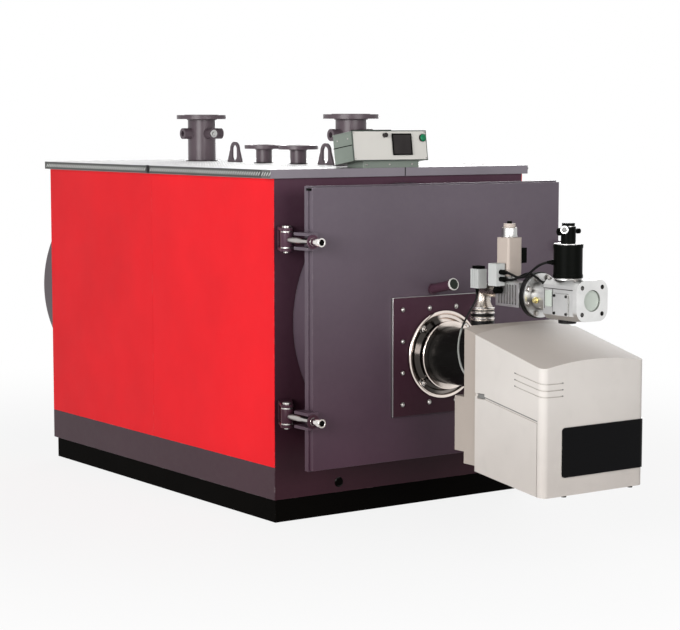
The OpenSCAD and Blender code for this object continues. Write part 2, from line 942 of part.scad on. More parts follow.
// Long nuts with ring heads that hold the lugs on the eye bolts
module hinge_nuts() {
  seat = lug_front - pin_y;
  color([0.8, 0.8, 0.8]) at_hinges() difference() {
    union() {
      rod_y(nut_r, seat - nut_h, seat - nut_h + nut_head, 0, 0);
      rod_y(nut_neck_r, seat - nut_h, seat, 0, 0);
      rod_y(nut_washer_r, seat - nut_washer_t, seat, 0, 0);
    }
    rod_y(bolt_r + hair, seat - nut_h - over, seat + over, 0, 0);
  }
}

// Closing bolts with ring heads, through the sleeves on the door's free side
module closing_bolts() {
  seat = door_front - sleeve_len;
  color([0.7, 0.7, 0.7]) at_closings() difference() {
    union() {
      rod_y(bolt_r, seat, post_front + closing_tip, 0, 0);
      rod_y(nut_r, seat - closing_head, seat, 0, 0);
    }
    rod_y(closing_recess_r, seat - closing_head - over, seat - closing_head + closing_recess, 0, 0);
  }
}

module burner_plate() {
  color([0.3, 0.24, 0.29]) difference() {
    block([-plate_w, plate_front, burner_z - plate_h / 2], [plate_w, door_front, burner_z + plate_h / 2]);
    rod_y(tube_r + fit, plate_front - over, door_front + over, 0, burner_z);
  }
}

// Bright dished flange with a rolled rim and a collar round the burner tube
module burner_mount() {
  neck = plate_front - collar_front;
  color([0.8, 0.8, 0.8]) translate([0, plate_front, burner_z]) rotate([90, 0, 0]) {
    rotate_extrude() {
      polygon([[tube_r + fit, 0], [mount_r - mount_bead_r, 0], [mount_r - mount_bead_r, dish_t],
        [collar_r + collar_foot, dish_t], [collar_r, dish_t + collar_foot], [collar_r, neck - 2 * collar_lip],
        [tube_r + fit, neck - 2 * collar_lip]]);
      translate([mount_r - mount_bead_r, mount_bead_r]) circle(r = mount_bead_r);
    }
    rotate_extrude() difference() {
      union() {
        translate([collar_r, neck - collar_lip]) circle(r = collar_lip);
        translate([tube_r + fit, neck - 2 * collar_lip]) square([collar_r - tube_r - fit, 2 * collar_lip]);
      }
      square([tube_r + fit, 2 * neck]);
    }
  }
}

// Burner tube from the burner's casing into the furnace, with its flame disc
module burner_tube() {
  color([0.08, 0.08, 0.08]) difference() {
    rod_y(tube_r, body_rear, tube_tip, 0, burner_z);
    rod_y(tube_r - tube_wall, tube_tip - tube_mouth, tube_tip + over, 0, burner_z);
    rod_y(flame_hole_r, tube_tip - flame_disc_d, tube_tip, 0, burner_z);
    for (i = [0 : flame_slots - 1]) translate([0, 0, burner_z]) rotate([0, i * 360 / flame_slots, 0])
      block([0.4 * tube_r, tube_tip - flame_disc_d, -flame_slot_w / 2],
        [0.8 * tube_r, tube_tip, flame_slot_w / 2]);
  }
}

// Sight tube above the burner plate, rising to its glass end
module sight_tube() {
  color([0.3, 0.24, 0.29]) union() {
    difference() {
      translate([sight_x, door_front, sight_z]) rotate([90 - sight_tilt, 0, 0]) {
        translate([0, 0, -sight_r]) cylinder(h = sight_r + sight_len - sight_recess, r = sight_r);
        translate([0, 0, sight_len - sight_ring_h]) difference() {
          cylinder(h = sight_ring_h, r = sight_ring_r);
          translate([0, 0, sight_ring_h - sight_recess]) cylinder(h = sight_recess + over, r = sight_glass_r);
        }
      }
      rod_y(2 * sight_r, door_front, door_front + 2 * sight_r, sight_x, sight_z);
    }
    rod_y(sight_foot_r, door_front - sight_foot_t, door_front, sight_x, sight_z);
  }
}

// Plan outline of the burner's cover, grown by a margin
module hood_plan(grow) {
  x = hood_w / 2 + grow;
  y = hood_front - grow;
  c = hood_corner + grow;
  union() {
    translate([-x + c, y]) square([2 * x - 2 * c, hood_d + grow]);
    translate([-x, y + c]) square([2 * x, hood_d + grow - c]);
    for (side = [-1, 1]) translate([side * (x - c), y + c]) circle(r = c);
  }
}

// Plan outline as a tall block
module hood_block(grow) {
  translate([0, 0, hood_low_front - hood_corner]) linear_extrude(hood_top_rear) hood_plan(grow);
}

// Rising arched roof of the burner, lifted by a margin
module hood_roof(lift) {
  translate([0, hood_rear, hood_top_rear + lift]) rotate([hood_slope, 0, 0])
    rod_y(hood_arch_r, -2 * hood_d, hood_d, 0, -hood_arch_r);
}

// All that lies above a line along the cover's side
module hood_above(rear_z, front_z) {
  slope = (rear_z - front_z) / hood_d;
  high = hood_top_rear + hood_corner;
  translate([-hood_w, 0, 0]) rotate([90, 0, 90]) linear_extrude(2 * hood_w) polygon([
    [hood_rear, rear_z],
    [hood_front - hood_corner, front_z - hood_corner * slope],
    [hood_front - hood_corner, high],
    [hood_rear, high]]);
}

// Shallow band round the cover along a line on its side
module hood_band(rear_z, front_z, w, deep) {
  difference() {
    hood_above(rear_z, front_z);
    hood_above(rear_z + w, front_z + w);
    hood_block(-deep);
  }
}

// Arched cover of the burner with its parting groove, front seams, three fine lines and catch notches
module burner_cover() {
  side_x = hood_w / 2;
  color([0.85, 0.82, 0.8]) difference() {
    intersection() {
      hood_block(0);
      hood_roof(0);
      hood_above(hood_low_rear, hood_low_front);
    }
    difference() {
      hood_band(groove_rear, groove_front, groove_w, groove_deep);
      block([-hood_w, hood_front - hood_corner, 0], [hood_w, hood_front + hood_corner, hood_top_rear]);
    }
    for (i = [0 : 2]) intersection() {
      hood_band(line_rear + i * line_pitch, line_front + i * line_pitch, line_w, line_w);
      block([-hood_w, hood_front - hood_corner, 0], [line_x, line_y, 2 * hood_top_rear]);
    }
    for (side = [0, 1]) mirror([side, 0, 0]) {
      block([side_x - notch_d, hood_rear - notch_in - notch_w, groove_rear - notch_h / 2],
        [side_x + over, hood_rear - notch_in, groove_rear + notch_h / 2]);
      block([side_x - seam_w, hood_front + hood_corner, hood_low_front - over],
        [side_x + over, hood_front + hood_corner + seam_w, seam_top]);
    }
  }
}

// Rounded outline of the dark panel as seen from the front, without its right end
module panel_outline() {
  c = panel_corner;
  for (z = [c, panel_face_h - c]) translate([c, z]) circle(r = c);
  translate([c, 0]) square([hood_w, panel_face_h]);
  translate([0, c]) square([hood_w, panel_face_h - 2 * c]);
}

// Dark panel that wraps the cover's front and its right corner, and the cover's two feet
module burner_panel() {
  color([0.05, 0.05, 0.05]) {
    intersection() {
      difference() {
        hood_block(panel_proud);
        hood_block(hair);
      }
      translate([panel_x, hood_front + panel_wrap, panel_z]) rotate([90, 0, 0])
        linear_extrude(2 * panel_wrap) panel_outline();
    }
    difference() {
      for (x = [left_foot_x, right_foot_x])
        rod_z(foot_r, hood_low_front + foot_in * (hood_low_rear - hood_low_front) / hood_d - foot_h,
          hood_low_rear, x, hood_front + foot_in);
      hood_above(hood_low_rear - hair, hood_low_front - hair);
    }
  }
}

// Rear casing of the burner with the fan box below
module burner_body() {
  x = hood_w / 2 - body_in;
  color([0.72, 0.7, 0.66]) difference() {
    union() {
      intersection() {
        block([-x, hood_rear, body_low], [x, body_rear, hood_top_rear]);
        hood_roof(-body_drop);
      }
      block([-x, body_rear, fan_low], [hood_w / 2 - fan_in, body_rear + fan_d, fan_high]);
    }
    rod_y(tube_r + fit, body_rear, body_rear + fan_d + over, 0, burner_z);
  }
}

// Bell between the flange rings and the gas pipe
module bell() {
  wide = bell_r - gas_r;
  rotate_extrude() polygon([
    [0, 0],
    for (i = [0 : bell_steps]) [gas_r + wide * pow(1 - i / bell_steps, 2), bell_h * i / bell_steps],
    [0, bell_h]]);
}

// Gas inlet on the burner tube: foot, two flange rings, bell and elbow
module gas_elbow() {
  color([0.62, 0.62, 0.64]) difference() {
    union() {
      rod_z(elbow_foot_r, burner_z, elbow_foot_top, 0, elbow_y);
      rod_z(elbow_neck_r, elbow_foot_top, bell_z, 0, elbow_y);
      rod_z(elbow_ring_r, low_ring_z, low_ring_z + low_ring_t, 0, elbow_y);
      rod_z(elbow_ring_r, top_ring_z, bell_z, 0, elbow_y);
      translate([0, elbow_y, bell_z]) bell();
      rod_z(gas_r, bell_z + bell_h, gas_z, 0, elbow_y);
      translate([0, elbow_y, gas_z]) sphere(r = gas_r);
      rod_y(gas_r, valve_back, elbow_y, 0, gas_z);
    }
    rod_y(tube_r + fit, elbow_y - 2 * elbow_foot_r, elbow_y + 2 * elbow_foot_r, 0, burner_z);
  }
}

// Ribbed gas valve below the actuator
module gas_valve() {
  x = valve_w / 2;
  middle = (valve_back + valve_front) / 2;
  color([0.65, 0.65, 0.67]) {
    difference() {
      block([-x, valve_front, valve_low], [x, valve_back, valve_high]);
      for (i = [-rib_sides : rib_sides], side = [0, 1]) mirror([side, 0, 0])
        block([x - rib_deep, middle + i * rib_pitch - rib_gap / 2, valve_low + rib_end],
          [x + over, middle + i * rib_pitch + rib_gap / 2, valve_high - rib_end]);
    }
    rod_z(stem_r, valve_high, stem_top, 0, valve_y);
    rod_y(union_r, disc_y + disc_t / 2, valve_front, 0, gas_z);
  }
}

// Round-cornered rectangle on its middle
module round_rect(w, d, c) {
  square([w - 2 * c, d], center = true);
  square([w, d - 2 * c], center = true);
  for (sx = [-1, 1], sy = [-1, 1]) translate([sx * (w / 2 - c), sy * (d / 2 - c)]) circle(r = c);
}

// Valve actuator with its stepped cap
module valve_actuator() {
  cap_z = stem_top + act_h;
  color([0.75, 0.69, 0.66]) {
    translate([0, valve_y, stem_top]) linear_extrude(act_h) round_rect(act_w, act_d, act_corner);
    rod_z(cap_r, cap_z, cap_z + cap_h, 0, valve_y);
    rod_z(crown_r, cap_z + cap_h, cap_z + cap_h + crown_h, 0, valve_y);
  }
}

// Two gas pressure switches beside the elbow and the valve, one with a ribbed housing
module pressure_switches() {
  left_out = left_switch_x - left_switch_w / 2;
  color([0.6, 0.6, 0.62]) difference() {
    union() {
      upright(left_switch_w, left_switch_d, left_switch_z, left_switch_h, left_switch_x, left_switch_y);
      rod_x(left_stub_r, left_switch_x, 0, left_switch_y, left_switch_z + left_stub_r);
      upright(front_switch_w, front_switch_d, front_switch_z, front_switch_h, front_switch_x, valve_y);
    }
    rod_y(gas_r + fit, valve_y, elbow_y + 2 * gas_r, 0, gas_z);
    for (i = [-1 : 1])
      upright(2 * switch_rib, switch_rib_w, left_switch_z + switch_rib_w, left_switch_h, left_out,
        left_switch_y + 2 * i * switch_rib_w);
  }
}

// Black cap, glands and pipe fitting of the switches, and the button and plug of the actuator
module switch_caps() {
  button_z = stem_top + act_h + cap_h + crown_h;
  color([0.06, 0.06, 0.06]) {
    upright(left_switch_w - 2 * switch_cap_in, left_switch_d - 2 * switch_cap_in,
      left_switch_z + left_switch_h, switch_cap_h, left_switch_x, left_switch_y);
    rod_x(fitting_r, front_switch_x - fitting_end, -valve_w / 2, valve_y, fitting_z);
    rod_z(fitting_neck_r, fitting_z, front_switch_z, front_switch_x, valve_y);
    for (z = [lower_gland_z, upper_gland_z])
      rod_y(gland_r, gland_end, front_switch_face, front_switch_x, z);
    rod_z(button_r, button_z, button_z + button_h, 0, valve_y);
    upright(plug_w, plug_d, plug_z, plug_h, (act_w + plug_w) / 2, plug_y);
  }
}

// Round flange pair between the two valves
module gas_flanges() {
  y = disc_y - disc_t / 2;
  color([0.1, 0.1, 0.1]) translate([0, y, gas_z]) rotate([-90, 0, 0]) rotate_extrude() polygon([
    [0, 0], [disc_r - disc_edge, 0], [disc_r, disc_edge], [disc_r, disc_t - disc_edge],
    [disc_r - disc_edge, disc_t], [0, disc_t]]);
}

// Main valve's cast block as seen along the pipe
module main_outline() {
  x = main_w / 2;
  c = main_chamfer;
  polygon([[-x + c, main_low], [x - c, main_low], [x, main_low + c], [x, main_high - c],
    [x - c, main_high], [-x + c, main_high], [-x, main_high - c], [-x, main_low + c]]);
}

// Main gas valve: barrel, cast block in two parts, coil plate, side covers, plug and square inlet flange
module main_valve() {
  x = main_w / 2;
  color([0.7, 0.7, 0.72]) difference() {
    union() {
      rod_y(main_ring_r, main_back - main_ring_t, main_back, 0, gas_z);
      rod_y(barrel_r, main_front, main_back, 0, gas_z);
      translate([0, main_block_back, 0]) rotate([90, 0, 0])
        linear_extrude(main_block_back - main_block_front) main_outline();
      for (side = [-1, 1])
        upright(2 * side_plate_t, side_plate_w, side_plate_z - side_plate_w / 2, side_plate_w,
          side * x, side_plate_y);
      rod_z(coil_plate_r, main_high - over, coil_z, 0, coil_y);
      translate([0, coil_y, main_low - main_plug_h])
        cylinder(h = main_plug_h + over, r = main_plug_r, $fn = 6);
      translate([0, main_front, gas_z]) rotate([90, 0, 0]) linear_extrude(inlet_t)
        round_rect(2 * inlet_r, 2 * inlet_r, inlet_corner);
    }
    for (side = [0, 1]) mirror([side, 0, 0])
      block([x - main_part_d, main_block_front - over, main_part_z],
        [x + over, main_block_back + over, main_part_z + main_part_w]);
    rod_y(inlet_recess_r, inlet_front - over, inlet_front + inlet_recess, 0, gas_z);
    for (a = [45 : 90 : 315])
      rod_y(bolt_hole_r, inlet_front - over, main_front + over,
        inlet_pcd / 2 * cos(a), gas_z + inlet_pcd / 2 * sin(a));
  }
}

// Magnet coil with its end bands and the damper head with a ring knob and a small knob
module valve_coil() {
  top = coil_z + coil_h;
  ring_x = -head_r - head_knob_reach;
  color([0.06, 0.06, 0.06]) {
    rod_z(coil_r - coil_step, coil_z, top, 0, coil_y);
    rod_z(coil_r, coil_z, coil_z + coil_band, 0, coil_y);
    rod_z(coil_r, top - coil_band, top, 0, coil_y);
    rod_z(head_r, top, top + head_h - head_cap_h, 0, coil_y);
    rod_z(head_cap_r, top, top + head_h, 0, coil_y);
    difference() {
      union() {
        rod_x(head_knob_r, ring_x, 0, coil_y, head_knob_z);
        rod_x(head_ring_r, ring_x, ring_x + head_ring_t, coil_y, head_knob_z);
      }
      rod_x(head_knob_r / 2, ring_x - over, ring_x + head_ring_t, coil_y, head_knob_z);
    }
    rod_x(small_knob_r, 0, head_r + small_knob_reach, coil_y, head_knob_z);
    rod_x(small_knob_end_r, head_r + small_knob_reach - small_knob_end, head_r + small_knob_reach,
      coil_y, head_knob_z);
  }
}

// Smooth route through hand-chosen points
function route(p) = [
  for (i = [0 : len(p) - 2], k = [0 : lead_steps - 1])
    let (a = p[max(i - 1, 0)], b = p[i], c = p[i + 1], d = p[min(i + 2, len(p) - 1)], t = k / lead_steps)
      0.5 * (2 * b + (c - a) * t + (2 * a - 5 * b + 4 * c - d) * t * t + (3 * b - 3 * c + d - a) * t * t * t),
  p[len(p) - 1]];

function unit(v) = v / norm(v);

// Direction of a route at one of its places, square to the faces at its two ends
function heading(points, path, i) = i == 0 ? unit(points[1] - points[0])
  : i == len(path) - 1 ? unit(points[len(points) - 1] - points[len(points) - 2])
  : unit(path[i + 1] - path[i - 1]);

// Round tube along a route
module lead(points, r) {
  path = route(points);
  n = len(path);
  m = lead_sides;
  rings = [for (i = [0 : n - 1])
    let (t = heading(points, path, i), u = unit(cross(t, [0.9, 0.13, 0.4])), v = cross(t, u))
      for (k = [0 : m - 1]) path[i] + r * (cos(k * 360 / m) * u + sin(k * 360 / m) * v)];
  caps = [[for (k = [0 : m - 1]) k], [for (k = [m - 1 : -1 : 0]) (n - 1) * m + k]];
  skin = [for (i = [0 : n - 2], k = [0 : m - 1])
    let (a = i * m + k, b = i * m + (k + 1) % m)
      each [[a, a + m, b], [b, a + m, b + m]]];
  polyhedron(points = rings, faces = concat(caps, skin));
}

module switch_lead() {
  color([0.04, 0.04, 0.04]) lead(switch_points, thin_lead_r);
}

module coil_lead() {
  color([0.04, 0.04, 0.04]) lead(coil_points, lead_r);
}

module valve_lead() {
  color([0.04, 0.04, 0.04]) lead(valve_points, lead_r);
}

base_frame();
saddles();
boiler_shell();
tube_plate();
water_wall();
furnace();
rear_plate();
rear_smokebox();
flue_outlet();
front_panel();
rear_panel();
left_skirt();
right_skirt();
left_panel_front();
left_panel_rear();
right_panel_front();
right_panel_rear();
top_plate_front();
top_plate_rear();
front_top_rail();
flow_nozzle();
return_nozzle();
safety_nozzles();
lifting_eyes();
control_bracket();
control_box();
control_fascia();
control_fittings();
hinge_brackets();
hinge_pins();
closing_posts();
door_frame();
door_cover();
door_lining();
hinge_bolts();
hinge_nuts();
closing_bolts();
burner_plate();
burner_mount();
burner_tube();
sight_tube();
burner_body();
burner_cover();
burner_panel();
gas_elbow();
gas_valve();
valve_actuator();
pressure_switches();
switch_caps();
gas_flanges();
main_valve();
valve_coil();
switch_lead();
coil_lead();
valve_lead();
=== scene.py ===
"""Looks of an industrial hot-water boiler with a gas burner on its door.

Metres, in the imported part's frame: origin on the floor under the casing, front towards -Y.
"""

import json
import math

import bmesh
import bpy
from mathutils import Matrix, Vector


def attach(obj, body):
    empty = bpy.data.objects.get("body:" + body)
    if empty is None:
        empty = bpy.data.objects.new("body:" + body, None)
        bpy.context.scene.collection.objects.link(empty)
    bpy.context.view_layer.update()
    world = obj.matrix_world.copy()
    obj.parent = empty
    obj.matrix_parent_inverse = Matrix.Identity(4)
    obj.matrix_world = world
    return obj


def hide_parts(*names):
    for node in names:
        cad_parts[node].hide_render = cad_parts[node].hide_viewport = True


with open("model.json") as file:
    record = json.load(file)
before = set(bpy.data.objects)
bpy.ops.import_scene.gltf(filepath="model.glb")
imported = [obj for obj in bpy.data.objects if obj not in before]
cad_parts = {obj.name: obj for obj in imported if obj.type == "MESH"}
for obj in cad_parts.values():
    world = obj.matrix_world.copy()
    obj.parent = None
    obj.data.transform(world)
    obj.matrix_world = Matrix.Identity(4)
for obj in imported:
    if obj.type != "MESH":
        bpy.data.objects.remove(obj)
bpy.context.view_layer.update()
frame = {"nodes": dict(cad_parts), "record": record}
nodes = frame["nodes"]

IMAGE_W = 680
FOCAL_PX = 1915.0
SENSOR = 36.0
CAMERA_AT = Vector((-5.0070, -7.6023, 1.6719))
CAMERA_YAW = math.radians(35.31)
CAMERA_PITCH = math.radians(5.757)

OUT = (0, -1, 0)
BACK = (0, 1, 0)
UP = (0, 0, 1)

BURNER_Z = 0.695
SHELL_Z = 0.836
DECK_Z = 1.477


# Camera, light and stage

def make_camera():
    data = bpy.data.cameras.new("photo_camera")
    data.sensor_width = SENSOR
    data.lens = FOCAL_PX / IMAGE_W * SENSOR
    data.clip_end = 200
    camera = bpy.data.objects.new("photo_camera", data)
    camera.location = CAMERA_AT
    camera.rotation_euler = (math.pi / 2 - CAMERA_PITCH, 0, -CAMERA_YAW)
    bpy.context.scene.collection.objects.link(camera)
    bpy.context.scene.camera = camera


def area_light(name, place, target, size, watts, colour):
    data = bpy.data.lights.new(name, "AREA")
    data.shape = "RECTANGLE"
    data.size, data.size_y = size
    data.energy = watts
    data.color = colour
    light = bpy.data.objects.new(name, data)
    light.location = place
    aim = Vector(target) - Vector(place)
    light.rotation_euler = aim.to_track_quat("-Z", "Y").to_euler()
    bpy.context.scene.collection.objects.link(light)


def seen_directly(tree):
    """1 for rays from the camera, from metal and from glass, 0 for light that falls on things."""
    path = tree.nodes.new("ShaderNodeLightPath")
    first = tree.nodes.new("ShaderNodeMath")
    first.operation = "MAXIMUM"
    both = tree.nodes.new("ShaderNodeMath")
    both.operation = "MAXIMUM"
    tree.links.new(path.outputs["Is Camera Ray"], first.inputs[0])
    tree.links.new(path.outputs["Is Glossy Ray"], first.inputs[1])
    tree.links.new(first.outputs[0], both.inputs[0])
    tree.links.new(path.outputs["Is Transmission Ray"], both.inputs[1])
    return both.outputs[0]


def make_world():
    """White surround that lights softly, less from above than from the sides."""
    world = bpy.data.worlds.new("studio")
    bpy.context.scene.world = world
    world.use_nodes = True
    tree = world.node_tree
    tree.nodes.clear()
    out = tree.nodes.new("ShaderNodeOutputWorld")
    coords = tree.nodes.new("ShaderNodeTexCoord")
    split = tree.nodes.new("ShaderNodeSeparateXYZ")
    ramp = tree.nodes.new("ShaderNodeValToRGB")
    stops = ramp.color_ramp.elements
    stops[0].position, stops[0].color = 0.0, (0.50, 0.50, 0.50, 1)
    stops[1].position, stops[1].color = 1.0, (0.08, 0.08, 0.08, 1)
    light = tree.nodes.new("ShaderNodeBackground")
    white = tree.nodes.new("ShaderNodeBackground")
    white.inputs["Color"].default_value = (1, 1, 1, 1)
    mix = tree.nodes.new("ShaderNodeMixShader")
    tree.links.new(coords.outputs["Generated"], split.inputs[0])
    tree.links.new(split.outputs["Z"], ramp.inputs["Fac"])
    tree.links.new(ramp.outputs["Color"], light.inputs["Color"])
    tree.links.new(seen_directly(tree), mix.inputs["Fac"])
    tree.links.new(light.outputs[0], mix.inputs[1])
    tree.links.new(white.outputs[0], mix.inputs[2])
    tree.links.new(mix.outputs[0], out.inputs["Surface"])


bpy.context.scene.view_settings.view_transform = "Standard"
make_camera()
make_world()
area_light("key_left", (-7.0, -4.0, 2.3), (0, -0.4, 0.9), (5.0, 3.0), 505, (1.0, 0.99, 0.98))
area_light("fill_front", (-0.8, -7.6, 2.0), (0, -1.2, 1.3), (4.0, 2.0), 180, (1.0, 0.98, 0.97))
area_light("back_right", (6.5, 6.0, 3.0), (0, 0, 0.9), (5.0, 3.0), 330, (1.0, 1.0, 1.0))


# Material building blocks

class Paint:
    """Small helper round one material's node tree, in object coordinates (metres)."""

    def __init__(self, name):
        self.material = bpy.data.materials.new(name)
        self.material.use_nodes = True
        self.tree = self.material.node_tree
        self.shader = self.tree.nodes["Principled BSDF"]
        self.coords = self.tree.nodes.new("ShaderNodeTexCoord").outputs["Object"]

    def node(self, kind, **values):
        made = self.tree.nodes.new(kind)
        for key, value in values.items():
            if hasattr(made, key):
                setattr(made, key, value)
            else:
                made.inputs[key.replace("_", " ")].default_value = value
        return made

    def link(self, a, b):
        self.tree.links.new(a, b)

    def noise(self, scale, detail):
        made = self.node("ShaderNodeTexNoise", Scale=scale, Detail=detail, Roughness=0.55)
        self.link(self.coords, made.inputs["Vector"])
        return made.outputs["Fac"]

    def ramp(self, value, *stops):
        made = self.node("ShaderNodeValToRGB")
        elements = made.color_ramp.elements
        for index, (position, colour) in enumerate(stops):
            element = elements[index] if index < 2 else elements.new(position)
            element.position = position
            element.color = (*colour, 1)
        self.link(value, made.inputs["Fac"])
        return made.outputs["Color"]

    def mix(self, fac, a, b, blend="MIX"):
        made = self.node("ShaderNodeMix", data_type="RGBA", blend_type=blend)
        for socket, value in ((made.inputs[0], fac), (made.inputs[6], a), (made.inputs[7], b)):
            if hasattr(value, "is_linked"):
                self.link(value, socket)
            elif isinstance(value, (int, float)):
                socket.default_value = value
            else:
                socket.default_value = (*value, 1)
        return made.outputs[2]

    def math(self, operation, a, b=0.0):
        made = self.node("ShaderNodeMath", operation=operation)
        for socket, value in zip(made.inputs, (a, b)):
            if hasattr(value, "is_linked"):
                self.link(value, socket)
            else:
                socket.default_value = value
        return made.outputs[0]

    def spread(self, value, low, high):
        made = self.node("ShaderNodeMapRange")
        made.inputs["To Min"].default_value = low
        made.inputs["To Max"].default_value = high
        self.link(value, made.inputs["Value"])
        return made.outputs[0]

    def bump(self, height, strength, distance, under=None):
        made = self.node("ShaderNodeBump", Strength=strength, Distance=distance)
        self.link(height, made.inputs["Height"])
        if under is not None:
            self.link(under, made.inputs["Normal"])
        return made.outputs[0]

    def edges(self, radius):
        """1 along worn outer edges and 0 on the faces."""
        soft = self.node("ShaderNodeBevel", samples=4)
        soft.inputs["Radius"].default_value = radius
        flat = self.node("ShaderNodeNewGeometry")
        dot = self.node("ShaderNodeVectorMath", operation="DOT_PRODUCT")
        self.link(soft.outputs[0], dot.inputs[0])
        self.link(flat.outputs["Normal"], dot.inputs[1])
        made = self.node("ShaderNodeMapRange")
        made.inputs["From Min"].default_value = 0.99
        made.inputs["From Max"].default_value = 0.80
        self.link(dot.outputs["Value"], made.inputs["Value"])
        return made.outputs[0]

    def corners(self, reach):
        """1 in inner corners and narrow gaps, and 0 on open faces; it darkens them as painted shade, with
        some grime.
        """
        near = self.node("ShaderNodeAmbientOcclusion", samples=6, Distance=reach)
        return self.ramp(near.outputs["AO"], (0.30, (1, 1, 1)), (0.80, (0, 0, 0)))

    def normal(self):
        return self.node("ShaderNodeNewGeometry").outputs["Normal"]

    def split(self, vector):
        made = self.node("ShaderNodeSeparateXYZ")
        self.link(vector, made.inputs[0])
        return made.outputs

    def dish_painted_reflection(self):
        """1 on the dish of the burner's flange, less at its top and foot: a painted reflection, dark all
        round and lighter at its top and a little at its foot.
        """
        lip_front, dish_r, rim_r, zoom = -1.3292, 0.1680, 0.1725, 4.0
        full, faint, none = (1, 1, 1), (0.75, 0.75, 0.75), (0, 0, 0)
        place = self.split(self.coords)
        x, rise = place["X"], self.math("SUBTRACT", place["Z"], BURNER_Z)
        squares = self.math("ADD", self.math("MULTIPLY", x, x), self.math("MULTIPLY", rise, rise))
        radius = self.math("MULTIPLY", self.math("SQRT", squares), zoom)
        inside = self.ramp(radius, (dish_r * zoom, full), (rim_r * zoom, none))
        behind = self.math("GREATER_THAN", place["Y"], lip_front)
        angle = self.math("ARCTAN2", rise, x)
        turn = self.math("ADD", self.math("MULTIPLY", angle, 0.5 / math.pi), 0.5)
        patches = self.ramp(turn, (0.20, full), (0.24, faint), (0.31, faint), (0.34, full),
                            (0.63, full), (0.65, none), (0.765, none), (0.785, full))
        return self.math("MULTIPLY", self.math("MULTIPLY", inside, behind), patches)

    def set(self, colour, roughness, normal=None, **constants):
        for name, value in (("Base Color", colour), ("Roughness", roughness), ("Normal", normal)):
            if hasattr(value, "is_linked"):
                self.link(value, self.shader.inputs[name])
            elif value is not None:
                self.shader.inputs[name].default_value = value
        for name, value in constants.items():
            self.shader.inputs[name.replace("_", " ")].default_value = value
        return self.material


def shade(colour, factor):
    return tuple(min(1.0, c * factor) for c in colour)


def coated(name, colour, rough=0.36, peel=0.06, wear=(0.45, 0.43, 0.42), dust=0.02, gloss=0.2,
           low_shade=None):
    """Painted sheet: orange peel, cloudiness, dust, bare edges, painted shade with grime in corners, and
    painted shade that darkens it towards the floor.
    """
    p = Paint(name)
    cloud = p.noise(2.2, 3)
    grain = p.noise(38, 5)
    base = p.ramp(cloud, (0.3, shade(colour, 0.93)), (0.7, shade(colour, 1.06)))
    base = p.mix(p.spread(grain, 0, dust), base, (0.62, 0.59, 0.56))
    worn = p.math("MULTIPLY", p.edges(0.004), p.ramp(p.noise(26, 6), (0.5, (0, 0, 0)), (0.62, (1, 1, 1))))
    base = p.mix(p.math("MULTIPLY", worn, 0.35), base, wear)
    # Painted shade with grime: inner corners and gaps darkened.
    base = p.mix(p.math("MULTIPLY", p.corners(0.025), 0.55), base, shade(colour, 0.3))
    # Painted shade: darker towards the floor.
    if low_shade:
        height = p.math("MULTIPLY", p.split(p.coords)["Z"], 0.6)
        base = p.mix(1.0, base, p.ramp(height, (0.16, low_shade), (0.80, (1, 1, 1))), "MULTIPLY")
    sheen = p.spread(p.noise(7, 4), rough - 0.05, rough + 0.08)
    return p.set(base, sheen, p.bump(p.noise(340, 2), peel, 0.0006), Specular_IOR_Level=gloss)


def moulded(name, colour, rough=0.45, grain=420, depth=0.06, gloss=0.35, top_shade=0.0, corner_shade_and_dirt=0.5,
            low_shade=None):
    """Moulded plastic: fine spark-eroded grain, faint flow marks, finger grime, painted shade with grime in
    corners, painted shade towards the floor and painted shade on upward faces.
    """
    p = Paint(name)
    base = p.ramp(p.noise(3, 3), (0.3, shade(colour, 0.95)), (0.7, shade(colour, 1.03)))
    grime = p.ramp(p.noise(11, 6), (0.55, (0, 0, 0)), (0.8, (0.10, 0.10, 0.10)))
    base = p.mix(grime, base, shade(colour, 0.55))
    # Painted shade with grime: inner corners and gaps darkened.
    base = p.mix(p.math("MULTIPLY", p.corners(0.012), corner_shade_and_dirt), base, shade(colour, 0.25))
    # Painted shade: darker towards the floor.
    if low_shade:
        height = p.split(p.coords)["Z"]
        base = p.mix(1.0, base, p.ramp(height, (0.30, low_shade), (0.64, (1, 1, 1))), "MULTIPLY")
    # Painted shade: upward faces darkened to a brown grey.
    if top_shade:
        upward = p.math("MAXIMUM", p.split(p.normal())["Z"], 0.0)
        base = p.mix(p.math("MULTIPLY", upward, top_shade), base, (0.34, 0.28, 0.24))
    sheen = p.spread(p.noise(60, 3), rough - 0.06, rough + 0.08)
    return p.set(base, sheen, p.bump(p.noise(grain, 2), depth, 0.0005), Specular_IOR_Level=gloss)


def metal(name, colour, rough=0.3, pits=0.06, stain_and_shade=(0.2, 0.17, 0.14), stain_share=0.15, upright_shade=0.0,
          dish=False):
    """Bare metal: cast or turned surface, stains and roughness patches, painted shade on upright faces,
    painted shade with grime in corners, and a painted reflection on the burner flange's dish.
    """
    p = Paint(name)
    base = p.ramp(p.noise(9, 5), (0.3, shade(colour, 0.88)), (0.72, shade(colour, 1.06)))
    spots = p.ramp(p.noise(24, 7), (0.58, (0, 0, 0)), (0.76, (1, 1, 1)))
    base = p.mix(p.math("MULTIPLY", spots, stain_share), base, stain_and_shade)
    # Painted shade: upright faces darkened towards the stain colour.
    if upright_shade:
        upright = p.math("SUBTRACT", 1.0, p.math("ABSOLUTE", p.split(p.normal())["Z"]))
        base = p.mix(p.math("MULTIPLY", upright, upright_shade), base, stain_and_shade)
    # Painted reflection: the flange's dish darkened except for patches at its top and foot.
    if dish:
        base = p.mix(p.dish_painted_reflection(), base, shade(colour, 0.06))
    # Painted shade with grime: inner corners and gaps darkened almost to black.
    base = p.mix(p.math("MULTIPLY", p.corners(0.03), 0.75), base, (0.05, 0.042, 0.036))
    source = p.noise(160, 4)
    sheen = p.spread(source, rough - 0.08, rough + 0.12)
    return p.set(base, sheen, p.bump(source, pits, 0.0008), Metallic=1.0)


